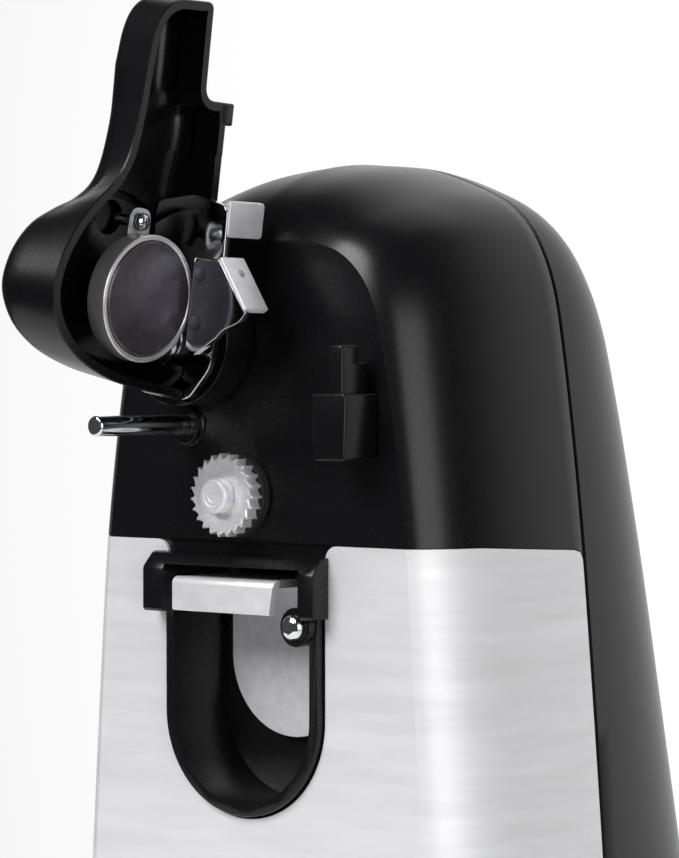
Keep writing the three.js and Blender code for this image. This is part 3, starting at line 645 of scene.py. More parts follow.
@dataclass
class Bench:
    """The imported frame, its places, and the finishing of pieces."""

    frame: dict
    paint: Paintshop
    front_y: float = field(init=False)
    pivot: Vector = field(init=False)
    wheel: Vector = field(init=False)

    def __post_init__(self) -> None:
        """Reads the joints' places."""
        joints = {joint["name"]: joint for joint in self.frame["joints"]}
        self.pivot = Vector(joints["lever_swing"]["pos_m"])
        self.wheel = Vector(joints["spindle_spin"]["pos_m"])
        self.front_y = self.pivot.y

    def to_row(self) -> Matrix:
        """Returns the matrix from the script's millimetres to the row frame."""
        return Matrix.Translation((0, self.front_y, 0)) @ Matrix.Scale(MM, 4)

    def from_lever(self) -> Matrix:
        """Returns the matrix from the closed lever's own millimetres to the stored lever."""
        place = Matrix.Translation((self.pivot.x / MM, 0, self.pivot.z / MM))
        return place @ Matrix.Rotation(math.radians(LEVER_REST_DEG), 4, "Y")

    def span(self, node: str) -> tuple[Vector, Vector]:
        """Returns a CAD node's box corners in the script's millimetres."""
        return tuple(Vector((p.x, p.y - self.front_y, p.z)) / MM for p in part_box(node))

    def centre(self, node: str) -> Vector:
        """Returns the middle of a CAD node's box in the script's millimetres."""
        low, high = self.span(node)
        return (low + high) / 2

    def piece(
        self, name: str, solid: Solid, finish: Finish, body: str, nodes: Sequence[str], smooth_deg: float = 32.0
    ) -> bpy.types.Object:
        """Turns a solid into a finished piece of the model.

        Args:
            name: The piece's name.
            solid: Its mesh, in millimetres.
            finish: Its surface.
            body: The CAD body that it rides on.
            nodes: The CAD nodes that it stands for.
            smooth_deg: Edges flatter than this shade smoothly.

        Returns:
            The piece.
        """
        mesh = solid.mesh
        mesh.name = name
        mesh.transform(self.to_row())
        shape = bmesh.new()
        shape.from_mesh(mesh)
        bmesh.ops.remove_doubles(shape, verts=shape.verts, dist=2e-6)
        bmesh.ops.dissolve_degenerate(shape, edges=shape.edges, dist=1e-7)
        bmesh.ops.recalc_face_normals(shape, faces=shape.faces)
        open_edges = sum(1 for edge in shape.edges if not edge.is_manifold)
        shape.to_mesh(mesh)
        shape.free()
        mesh.shade_smooth()
        mesh.set_sharp_from_angle(angle=math.radians(smooth_deg))
        mesh.materials.clear()
        mesh.materials.append(self.paint.material(finish))
        obj = bpy.data.objects.new(name, mesh)
        bpy.context.scene.collection.objects.link(obj)
        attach(obj, body)
        if nodes:
            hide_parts(*nodes)
        LOG.info("%s on %s: %d faces, %d open edges", name, body, len(mesh.polygons), open_edges)
        return obj


# ---------------------------------------------------------------- repeats


class Repeater:
    """Geometry Nodes trees that repeat a solid round an axis or at a set of places."""

    @staticmethod
    def _tree(name: str, sockets: dict[str, str]) -> tuple[bpy.types.NodeTree, bpy.types.Node, dict[str, str]]:
        """Starts a tree with named inputs.

        Args:
            name: The tree's name.
            sockets: Socket types by input name.

        Returns:
            The tree, its input node, and each input's identifier by name.
        """
        tree = bpy.data.node_groups.new(name, "GeometryNodeTree")
        tree.interface.new_socket("Geometry", in_out="INPUT", socket_type="NodeSocketGeometry")
        known = {
            label: tree.interface.new_socket(label, in_out="INPUT", socket_type=kind).identifier
            for label, kind in sockets.items()
        }
        tree.interface.new_socket("Geometry", in_out="OUTPUT", socket_type="NodeSocketGeometry")
        return tree, tree.nodes.new("NodeGroupInput"), known

    @staticmethod
    def _finish(
        tree: bpy.types.NodeTree, geometry: bpy.types.NodeSocket, material: bpy.types.NodeSocket, weld: float
    ) -> None:
        """Ends a tree in Realize Instances, a weld and Set Material.

        Args:
            tree: The tree.
            geometry: The instances.
            material: The material input.
            weld: The weld distance.
        """
        real = add_node(tree, "GeometryNodeRealizeInstances", {"Geometry": geometry})
        welded = add_node(
            tree, "GeometryNodeMergeByDistance", {"Geometry": real.outputs["Geometry"], "Distance": weld}
        )
        dressed = add_node(
            tree, "GeometryNodeSetMaterial", {"Geometry": welded.outputs["Geometry"], "Material": material}
        )
        add_node(tree, "NodeGroupOutput", {"Geometry": dressed.outputs["Geometry"]})

    @classmethod
    def around_y(cls, part: Solid, count: int, material: bpy.types.Material) -> Solid:
        """Repeats one sector round the Y axis and welds the sectors.

        Args:
            part: The sector, open where it meets its neighbours.
            count: How many sectors make the full turn.
            material: The material to set.

        Returns:
            The welded ring.
        """
        tree, given, known = cls._tree("Round_array", {"Count": "NodeSocketInt", "Material": "NodeSocketMaterial"})
        points = add_node(tree, "GeometryNodePoints", {"Count": given.outputs["Count"]})
        index = add_node(tree, "GeometryNodeInputIndex").outputs["Index"]
        turn = add_node(tree, "ShaderNodeMath", {0: math.tau, 1: given.outputs["Count"]}, operation="DIVIDE")
        angle = add_node(tree, "ShaderNodeMath", {0: index, 1: turn.outputs[0]}, operation="MULTIPLY")
        turned = add_node(tree, "ShaderNodeCombineXYZ", {"Y": angle.outputs[0]})
        copies = add_node(
            tree,
            "GeometryNodeInstanceOnPoints",
            {
                "Points": points.outputs[0],
                "Instance": given.outputs["Geometry"],
                "Rotation": turned.outputs["Vector"],
            },
        )
        cls._finish(tree, copies.outputs["Instances"], given.outputs["Material"], 1e-3)
        return cls._run(tree, part.mesh, {known["Count"]: count, known["Material"]: material})

    @classmethod
    def at_places(cls, part: Solid, places: Sequence[Vector], material: bpy.types.Material, seed: int) -> Solid:
        """Puts a copy of a solid at each place, each turned about Z by its own amount.

        Args:
            part: The solid, centred on the origin.
            places: Where the copies go.
            material: The material to set.
            seed: The seed of the turns.

        Returns:
            All the copies in one mesh.
        """
        tree, given, known = cls._tree(
            "Set_of_copies",
            {
                "Piece": "NodeSocketObject",
                "Largest Turn": "NodeSocketFloat",
                "Seed": "NodeSocketInt",
                "Material": "NodeSocketMaterial",
            },
        )
        piece = add_node(tree, "GeometryNodeObjectInfo", {"Object": given.outputs["Piece"]})
        spin = add_node(tree, "FunctionNodeRandomValue", {"Seed": given.outputs["Seed"]}, data_type="FLOAT")
        least, most = [socket for socket in spin.inputs if socket.type == "VALUE"][:2]
        least.default_value = 0.0
        tree.links.new(given.outputs["Largest Turn"], most)
        amount = next(socket for socket in spin.outputs if socket.type == "VALUE")
        turned = add_node(tree, "ShaderNodeCombineXYZ", {"Z": amount})
        copies = add_node(
            tree,
            "GeometryNodeInstanceOnPoints",
            {
                "Points": given.outputs["Geometry"],
                "Instance": piece.outputs["Geometry"],
                "Rotation": turned.outputs["Vector"],
            },
        )
        cls._finish(tree, copies.outputs["Instances"], given.outputs["Material"], 1e-5)
        cloud = bpy.data.meshes.new("places")
        cloud.from_pydata([tuple(p) for p in places], [], [])
        source = bpy.data.objects.new("source", part.mesh)
        bpy.context.scene.collection.objects.link(source)
        values = {
            known["Piece"]: source,
            known["Largest Turn"]: math.tau,
            known["Seed"]: seed,
            known["Material"]: material,
        }
        result = cls._run(tree, cloud, values)
        bpy.data.objects.remove(source)
        return result

    @staticmethod
    def _run(tree: bpy.types.NodeTree, mesh: bpy.types.Mesh, values: dict[str, object]) -> Solid:
        """Evaluates a tree on a mesh.

        Args:
            tree: The tree.
            mesh: The mesh that it starts from.
            values: Input values by identifier.

        Returns:
            The plain result.
        """
        obj = bpy.data.objects.new("work", mesh)
        modifier = obj.modifiers.new("Repeat", "NODES")
        modifier.node_group = tree
        for identifier, value in values.items():
            modifier[identifier] = value
        bpy.context.scene.collection.objects.link(obj)
        graph = bpy.context.evaluated_depsgraph_get()
        result = bpy.data.meshes.new_from_object(obj.evaluated_get(graph))
        obj.modifiers.remove(modifier)
        bpy.data.objects.remove(obj)
        return Solid(result)


# ---------------------------------------------------------------- housing


@dataclass
class HousingForm:
    """The housing's shape: outlines at the seam, on the flat front and on the flat back."""

    floor_z: float = 1.5
    seam_y: float = 45.0
    seam_gap: float = 0.4
    wall: float = 2.6
    seam_round: float = 0.45
    steps_up: int = 78
    steps_deep: int = 20
    # [half width, height] up one side
    seam: Sequence[Point2] = (
        (65.6, 1.5), (63.6, 35), (60.8, 74), (58.1, 108), (55.3, 140), (53, 161), (50.2, 182),
        (47.7, 196), (44.9, 204), (41, 210.5), (35.5, 215.5), (27, 219.6), (14, 223.8), (0, 225.4),
    )  # fmt: skip
    front: Sequence[Point2] = (
        (51, 1.5), (49, 35), (46.6, 74), (44.6, 108), (42.4, 140), (39.8, 161), (37, 178),
        (34.5, 190), (32, 196), (28.5, 200.5), (24, 203.8), (17, 205.9), (9, 206.9), (0, 207.2),
    )  # fmt: skip
    back: Sequence[Point2] = (
        (48, 1.5), (45, 29), (40.6, 60), (37, 88), (33.6, 114), (31.2, 131), (28.6, 148),
        (26.5, 159), (24.7, 165.5), (22.3, 171), (19.1, 175), (14.4, 178.6), (7.4, 181.8), (0, 183.2),
    )  # fmt: skip

    @staticmethod
    def front_depth(_height: float) -> float:
        """Returns the flat front's depth, which is the same all the way up."""
        return 0.0

    @staticmethod
    def back_depth(height: float) -> float:
        """Returns the leaning back's depth at a height."""
        return 103.3 - 0.12 * height

    def arch(self, side: Sequence[Point2]) -> Ring:
        """Draws an arch up one side and down the other.

        Args:
            side: Half width and height up one side.

        Returns:
            The arch's points at depth 0.
        """
        right = [Vector((x, 0, z)) for x, z in centripetal(side, self.steps_up)]
        return right + [Vector((-p.x, 0, p.z)) for p in reversed(right[:-1])]

    def rings(self, is_front: bool) -> list[Ring]:
        """Makes the rings from the seam to a flat end.

        Args:
            is_front: Whether the half is the front one.

        Returns:
            The rings of the outer surface.
        """
        depth_at = self.front_depth if is_front else self.back_depth
        power, sweep = (2.2, math.radians(78)) if is_front else (2.3, math.radians(90))
        seam, end = self.arch(self.seam), self.arch(self.front if is_front else self.back)
        rings = []
        for step in range(self.steps_deep + 1):
            angle = step / self.steps_deep * sweep
            reach = (math.sin(angle) / math.sin(sweep)) ** (2 / power)
            cosine = max(math.cos(angle), 0.0)
            narrowing = (1 - cosine ** (2 / power)) / (1 - max(math.cos(sweep), 0.0) ** (2 / power))
            ring = [a.lerp(b, narrowing) for a, b in zip(seam, end)]
            for point in ring:
                point.y = self.seam_y + (depth_at(point.z) - self.seam_y) * reach
            rings.append(ring)
        return rings

    def inner(self, rings: list[Ring], distance: float, is_front: bool) -> list[Ring]:
        """Moves rings inwards along the surface normal.

        Args:
            rings: The outer rings.
            distance: How far in.
            is_front: Whether the half is the front one.

        Returns:
            The moved rings.
        """
        sign = 1.0 if is_front else -1.0
        depth_at = self.front_depth if is_front else self.back_depth
        moved = []
        for row, ring in enumerate(rings):
            deeper, nearer = rings[min(row + 1, len(rings) - 1)], rings[max(row - 1, 0)]
            line = []
            for index, point in enumerate(ring):
                along = ring[min(index + 1, len(ring) - 1)] - ring[max(index - 1, 0)]
                normal = along.cross(deeper[index] - nearer[index]).normalized() * sign
                if row == 0:
                    normal = Vector((normal.x, 0, normal.z)).normalized()
                place = point - normal * distance
                limit = depth_at(place.z) + sign * distance
                place.y = max(place.y, limit) if is_front else min(place.y, limit)
                line.append(place)
            moved.append(line)
        return moved

    def half(self, is_front: bool, distance: float = 0.0, seam_shift: float = 0.0, drop: float = 0.0) -> Solid:
        """Makes one half's full form, or the form a distance inside it.

        Args:
            is_front: Whether the half is the front one.
            distance: How far inside the outer surface.
            seam_shift: How far its open end is moved along Y.
            drop: How far its lower edge is moved down.

        Returns:
            The closed form.
        """
        rings = self.rings(is_front)
        if distance > 0:
            rings = self.inner(rings, distance, is_front)
            for point in rings[0]:
                point.y = self.seam_y + seam_shift
        else:
            away = -1.0 if is_front else 1.0
            edge = self.inner(rings, self.seam_round, is_front)[0]
            middle = self.inner(rings, self.seam_round * 0.3, is_front)[0]
            for line, part in ((edge, 0.0), (middle, 0.3), (rings[0], 1.0)):
                for point in line:
                    point.y = self.seam_y + seam_shift + away * self.seam_round * part
            rings = [edge, middle, *rings]
        for ring in rings:
            ring[0].z -= drop
            ring[-1].z -= drop
        return Solid.loft(rings)


@dataclass
class Housing:
    """The two shells, the steel skin and the base."""

    bench: Bench
    form: HousingForm
    panel_top: float = 141.7
    panel_fall: float = 1.4  # how much lower the skin's top is at the seam
    skin: float = 0.7
    skin_recess: float = 0.95
    pocket_x: float = -2.0
    pocket_half: float = 22.0
    pocket_bottom: float = 104.5

    def pocket_outline(self, grow: float, top: float) -> list[Point2]:
        """Draws the bottle opener's U.

        Args:
            grow: How much wider than the U itself.
            top: The height of its open top.

        Returns:
            The outline.
        """
        radius = self.pocket_half + grow
        bowl = arc((self.pocket_x, self.pocket_bottom), radius, 180, 360, 48)
        return [(self.pocket_x + radius, top), (self.pocket_x - radius, top), *bowl]

    def notch(self, grow: float, corner: float) -> list[Point2]:
        """Draws the U that is cut from the skin, with round top corners.

        Args:
            grow: How much wider than the U itself.
            corner: The top corners' radius.

        Returns:
            The outline, open well above the skin.
        """
        radius, x, top = self.pocket_half + grow, self.pocket_x, self.panel_top
        right = arc((x + radius + corner, top - corner), corner, 180, 90, 8)
        left = arc((x - radius - corner, top - corner), corner, 90, 0, 8)
        bowl = arc((x, self.pocket_bottom), radius, 180, 360, 48)
        lid = [(x + radius + corner, top + 20), (x - radius - corner, top + 20)]
        return [*bowl, *right, *lid, *left]

    def above_panel(self, lift: float) -> Solid:
        """Makes the space above the skin's sloping top edge.

        Args:
            lift: How much higher than the skin's edge.

        Returns:
            A long block across the housing.
        """
        top, seam = self.panel_top + lift, self.form.seam_y
        side = [(-8, top), (14, top), (seam - 3.2, top - self.panel_fall)]
        side += [(seam - 1.2, top - self.panel_fall - 0.5), (seam - 0.25, top - self.panel_fall - 2.2)]
        side += [(seam + 20, top - self.panel_fall - 2.2), (seam + 20, 260), (-8, 260)]
        return Solid.loft([[Vector((x, y, z)) for y, z in side] for x in (-90.0, 90.0)])

    def build(self) -> None:
        """Builds the housing's pieces."""
        self.build_front()
        self.build_panel()
        self.build_rear()
        self.build_base()

    def build_front(self) -> None:
        """Builds the front shell with the pin boss, the openings and the skin's recess."""
        bench, form = self.bench, self.form
        deep = form.half(True, self.skin_recess, 3, 4)
        around = Solid.block((-90, 90), (-5, form.seam_y + 0.001), (-10, 260)).cut(self.above_panel(0.25))
        shell = form.half(True).cut(form.half(True, form.wall, 3, 4), around.cut(deep))
        pin, wheel, pivot = (bench.centre(n) for n in ("can_guide_pin", "drive_wheel", "lever_hub"))
        profile = [(0, 9), (5.4, 9), (5.0, 0.3), (4.4, -0.3), (4.2, -1.4), (0, -1.4)]
        boss = Solid.turned((pin.x, pin.z), profile, edge=0.35)
        profile = [(7.9, 12), (7.9, -0.25), (8.5, -0.25), (10.2, 0.4), (10.2, 12)]
        ring = Solid.turned((wheel.x, wheel.z), profile, looped=True)
        shell = shell.join(boss, ring)
        shell = shell.cut(
            Solid.prism(self.pocket_outline(0.3, 138.8), -5, 30),
            Solid.rod((pin.x, pin.z), 2.24, -5, 8.3),
            Solid.rod((wheel.x, wheel.z), 7.85, -5, 20),
            Solid.rod((pivot.x, pivot.z), 4.3, -5, 20),
            Solid.block((30.1, 33.1), (-2.4, 4), (162.4, 175)),
        )
        bench.piece("Front_shell", shell, MOULDED_ABS, "housing", ["front_housing"], 24)

    def build_panel(self) -> None:
        """Builds the brushed steel skin."""
        form = self.form
        band = Solid.block((-90, 90), (-5, form.seam_y - 0.2), (form.floor_z + 0.6, 200)).cut(self.above_panel(0))
        skin = form.half(True).cut(form.half(True, self.skin, 3, 4)).common(band)
        skin = skin.cut(Solid.prism(self.notch(0.55, 3.0), -5, 30))
        self.bench.piece("Steel_skin", skin, BRUSHED_STAINLESS, "housing", ["steel_front_panel"], 24)

    def build_rear(self) -> None:
        """Builds the rear shell with its screw wells and the cord opening."""
        form, bench = self.form, self.bench
        shell = form.half(False, 0, form.seam_gap).cut(form.half(False, form.wall, -3, 4))
        for place in (bench.centre(f"housing_screw_{i}") for i in (1, 2)):
            well = [(3.7, 58), (5.2, 58), (5.2, 98.6), (3.7, 98.6)]
            shell = shell.join(Solid.turned((place.x, place.z), well, looped=True))
            mouth = [(0, 97), (3.7, 97), (3.7, 99.4), (4.6, 130), (0, 130)]
            shell = shell.cut(Solid.turned((place.x, place.z), mouth))
        gland = bench.centre("cord_gland")
        shell = shell.cut(Solid.rod((gland.x, gland.z), 4.6, 92, 130))
        bench.piece("Rear_shell", shell, MOULDED_ABS, "housing", ["rear_housing"], 24)

    def build_base(self) -> None:
        """Builds the feet, the base screws and the cord gland."""
        bench = self.bench
        profile = [(0, 1.55), (7, 1.55), (7, 0.5), (6.3, 0), (5.2, 0), (4.6, 0.35), (0, 0.35)]
        foot = Solid.turned((0, 0), profile, Axis.Z, 48, 0.15)
        self._copies("Rubber_feet", foot, MOULDED_RUBBER, [f"foot_{i}" for i in range(1, 5)], 3)
        profile = [(0, 14), (1.45, 13), (1.45, 2.15), (3.1, 2.15), (2.9, 1.7), (0, 1.6)]
        head = Solid.turned((0, 0), profile, Axis.Z, 32, 0.15).cut(*self.cross_recess(1.2, 3.0))
        self._copies("Base_screws", head, ZINC_PLATE, [f"base_screw_{i}" for i in range(1, 5)], 7)
        gland = bench.centre("cord_gland")
        profile = [(2.9, 96), (4.5, 96), (4.5, 102.4), (5.9, 102.5), (5.9, 104.4), (5.1, 105.2), (4.3, 109.6), (2.9, 109.9)]
        sleeve = Solid.turned((gland.x, gland.z), profile, edge=0.35, looped=True)
        plug = Solid.rod((gland.x, gland.z), 3.2, 97, 106.4)
        bench.piece("Cord_gland_sleeve", sleeve.join(plug), MOULDED_RUBBER, "housing", ["cord_gland"])

    def _copies(self, name: str, solid: Solid, finish: Finish, nodes: list[str], seed: int) -> None:
        """Puts a base piece at each of its CAD nodes.

        Args:
            name: The piece's name.
            solid: One copy, upright on the origin.
            finish: Its surface.
            nodes: The CAD nodes that give the places.
            seed: The seed of the copies' turns.
        """
        places = [Vector((p.x, p.y, 0)) for p in map(self.bench.centre, nodes)]
        copies = Repeater.at_places(solid, places, self.bench.paint.material(finish), seed)
        self.bench.piece(name, copies, finish, "housing", nodes)

    @staticmethod
    def cross_recess(low: float, high: float, reach: float = 1.7, half: float = 0.32) -> tuple[Solid, Solid]:
        """Makes the two bars of a cross recess about the Z axis.

        Args:
            low: Where the recess starts.
            high: Where it ends.
            reach: Half its length.
            half: Half its width.

        Returns:
            The two bars, to be cut from a head.
        """
        return (
            Solid.block((-reach, reach), (-half, half), (low, high)),
            Solid.block((-half, half), (-reach, reach), (low, high)),
        )


@dataclass
class BottleOpener:
    """The recessed bottle opener: black surround, steel lip and its screw."""

    bench: Bench
    housing: Housing
    floor_y: float = 18.0

    def build(self) -> None:
        """Builds the surround, the steel plate and the screw."""
        self.build_surround()
        self.build_plate()
        self.build_screw()

    def build_surround(self) -> None:
        """Builds the cup with its rim and the hood above it."""
        housing, bench = self.housing, self.bench
        screw = bench.centre("opener_screw")
        cup = Solid.prism(housing.pocket_outline(0, 138.5), -1.6, self.floor_y, 0.45)
        hood = [(0.2, 126.2), (-4.9, 126.2), (-5.4, 126.8), (-5.4, 135.4), (-5.1, 136.2), (-2.5, 138.9), (-1.8, 139.2)]
        hood_solid = self.across([*hood, (0.2, 139.2)], -27.5, 21.5, 0.5)
        hollow = Solid.prism(housing.pocket_outline(-2.6, 136.6), -6, self.floor_y - 1.6)
        solid = cup.join(hood_solid).cut(hollow, Solid.block((-21.6, 11.2), (-6, 0), (120, 134.6)))
        profile = [(0, 17.4), (4.6, 17.4), (4.2, -3.4), (1.5, -3.4), (1.5, 4), (0, 4)]
        solid = solid.join(Solid.turned((screw.x, screw.z), profile, edge=0.3)).softened(0.28, 50)
        bench.piece("Opener_surround", solid, MOULDED_ABS, "housing", ["opener_pocket"], 30)

    @staticmethod
    def across(side: Sequence[Point2], start: float, stop: float, edge: float) -> Solid:
        """Gives a (y, z) side view its length along X, with rounded ends.

        Args:
            side: The side view's outline.
            start: Where it starts.
            stop: Where it ends.
            edge: The ends' rounding.

        Returns:
            The bar.
        """
        outline = list(reversed(side)) if is_clockwise(side) else list(side)
        sections = [(start, edge), (start + edge * 0.3, edge * 0.3), (start + edge, 0)]
        sections += [(stop - edge, 0), (stop - edge * 0.3, edge * 0.3), (stop, edge)]
        return Solid.loft([[Vector((x, y, z)) for y, z in inset(outline, distance)] for x, distance in sections])

    def build_plate(self) -> None:
        """Builds the steel lip, its rolled top and the plate at the back of the cup."""
        bend, low, high = 1.6, 126.6, 134.0
        front, thick = -4.6, 1.8
        turns = [math.radians(90 * i / 6) for i in range(7)]
        top = [(front + bend * (1 - math.sin(a)), high - bend * (1 - math.cos(a))) for a in turns]
        side = [*reversed(top), (15.9, high), (15.9, high - thick), (front + bend + 0.4, high - thick)]
        side += [(front + thick, high - bend - 0.4), (front + thick, low), (front + 0.3, low), (front, low + 0.4)]
        lip = self.across(side, -19.4, 10.0, 0.3)
        corner = Solid.prism([(8.6, 126.0), (12, 126.0), (12, 135), (10.0, 134.2)], -6, 3)
        narrow = [Solid.block(x, (-2.4, 20), (130, 136)) for x in ((-21, -17.6), (7.8, 12))]
        outline = [(16.6, 134), (-18.6, 134), *arc((-1, 116), 17.6, 180, 360, 40)]
        back = Solid.prism(outline, 14.6, 16.2, 0.15)
        screw = self.bench.centre("opener_screw")
        plate = lip.cut(corner, *narrow).join(back).cut(Solid.rod((screw.x, screw.z), 4.7, 10, 20))
        self.bench.piece("Opener_lip", plate.softened(0.18, 55), SATIN_STEEL, "housing", ["bottle_opener_plate"], 30)

    def build_screw(self) -> None:
        """Builds the pan-head screw with its cross recess."""
        place = self.bench.centre("opener_screw")
        profile = [(0, 8), (1.35, 7), (1.35, -3.5), (2.75, -3.5), (2.75, -4.4), (2.3, -5.1), (1.4, -5.5), (0, -5.65)]
        head = Solid.turned((place.x, place.z), profile, edge=0.2)
        bars = (
            Solid.block((place.x - 1.4, place.x + 1.4), (-7, -4.7), (place.z - 0.26, place.z + 0.26)),
            Solid.block((place.x - 0.26, place.x + 0.26), (-7, -4.7), (place.z - 1.4, place.z + 1.4)),
        )
        self.bench.piece("Opener_screw_head", head.cut(*bars), CHROME_PLATE, "housing", ["opener_screw"])


@dataclass
class FrontFittings:
    """The can guide pin and the switch's block and plunger."""

    bench: Bench

    def build(self) -> None:
        """Builds the pin, the block and the plunger."""
        bench = self.bench
        pin = bench.centre("can_guide_pin")
        end = bench.span("can_guide_pin")[0].y
        profile = [(0, 8), (2.2, 8), (2.2, end + 0.5), (1.95, end + 0.12), (1.6, end), (0, end)]
        bar = Solid.turned((pin.x, pin.z), profile, edge=0.12)
        bench.piece("Guide_pin", bar, CHROME_PLATE, "housing", ["can_guide_pin"], 40)
        side = rounded([(25.8, 174), (35, 174), (34.6, 160), (26.6, 160)], 0.8, 3)
        block = Solid.prism(side, -10.9, -0.05, 0.5).cut(
            Solid.block((29.55, 33.65), (-10.25, -1.35), (161.6, 176)),
            Solid.block((30.1, 33.1), (-2.4, 4), (162.4, 175)),
        )
        bench.piece("Switch_block_body", block.softened(0.15, 50), MOULDED_ABS, "housing", ["switch_block"])
        stem = Solid.block((29.8, 33.4), (-10, -1.6), (168.8, 180.4), 0.45)
        crown = Solid.prism(rounded([(29.8, 179), (29.8, 184), (33.4, 184), (33.4, 179)], 1.1, 4), -10, -4.6, 0.45)
        arm = Solid.block((30.4, 32.8), (-2.6, 21), (169.6, 173))
        bench.piece("Switch_plunger_body", stem.join(crown, arm), MOULDED_ABS, "plunger", ["switch_plunger"])


@dataclass
class DriveWheel:
    """The toothed wheel and the peened stud that holds it."""

    bench: Bench
    radius: float = 9.0
    teeth: int = 23
    front_y: float = -5.8
    back_y: float = -2.3
    bore: float = 3.45

    def build(self) -> None:
        """Builds the wheel by repeating one tooth, then the stud."""
        bench = self.bench
        place = bench.wheel / MM
        wheel = Repeater.around_y(self.tooth_sector(), self.teeth, bench.paint.material(GROUND_STEEL))
        wheel.moved(Matrix.Translation((place.x, 0, place.z)))
        bench.piece("Feed_wheel", wheel, GROUND_STEEL, "spindle", ["drive_wheel"], 20)
        profile = [
            (0, -8.42), (1.3, -8.42), (1.45, -8.5), (2.3, -8.5), (2.45, -8.58), (3.3, -8.6), (3.8, -8.1), (3.8, -5.82),
            (3.42, -5.8), (3.42, -2.2), (4, -2.2), (4, 29.2), (0, 29.2),
        ]  # fmt: skip
        stud = Solid.turned((place.x, place.z), profile, edge=0.12)
        low, high = bench.span("drive_bush")
        inner, outer, gap = 4.3, (high.x - low.x) / 2, 0.1
        profile = [(inner, low.y - 0.5), (outer + 0.5, low.y - 0.5), (outer + 0.5, -0.35), (outer + gap, -0.35),
                   (outer + gap, low.y - gap), (inner, low.y - gap)]
        washer = Solid.turned((place.x, place.z), profile, edge=0.08, looped=True)
        bench.piece("Dust_washer", washer, MOULDED_RUBBER, "housing", [])
        bench.piece("Drive_stud", stud, SATIN_STEEL, "spindle", ["drive_spindle"], 40)

    def tooth_sector(self) -> Solid:
        """Makes one tooth's sector, open at its two cut sides.

        Returns:
            The sector about the Y axis at the origin.
        """
        step = math.tau / self.teeth
        bevel, dish = 0.28, 0.12
        edge = [(0.0, 0.955), (0.04, 0.995), (0.12, 1.0), (0.17, 0.985), (0.34, 0.875), (0.6, 0.89), (0.86, 0.935)]
        columns = []
        for part, scale in [*edge, (1.0, 0.955)]:
            angle, outer = -part * step, self.radius * scale
            rows = [
                (self.bore, self.back_y), (outer - bevel, self.back_y), (outer, self.back_y - bevel),
                (outer, self.front_y + bevel), (outer - bevel, self.front_y), (5.6, self.front_y),
                (5.2, self.front_y + dish), (self.bore + 0.2, self.front_y + dish), (self.bore, self.front_y + 0.3),
            ]  # fmt: skip
            columns.append([Vector((r * math.cos(angle), y, r * math.sin(angle))) for r, y in rows])
        shape = bmesh.new()
        grid = [[shape.verts.new(p) for p in column] for column in columns]
        for left, right in zip(grid, grid[1:]):
            for i in range(len(left)):
                j = (i + 1) % len(left)
                shape.faces.new((left[i], left[j], right[j], right[i]))
        mesh = bpy.data.meshes.new("tooth")
        shape.to_mesh(mesh)
        shape.free()
        return Solid(mesh)


# ---------------------------------------------------------------- lever


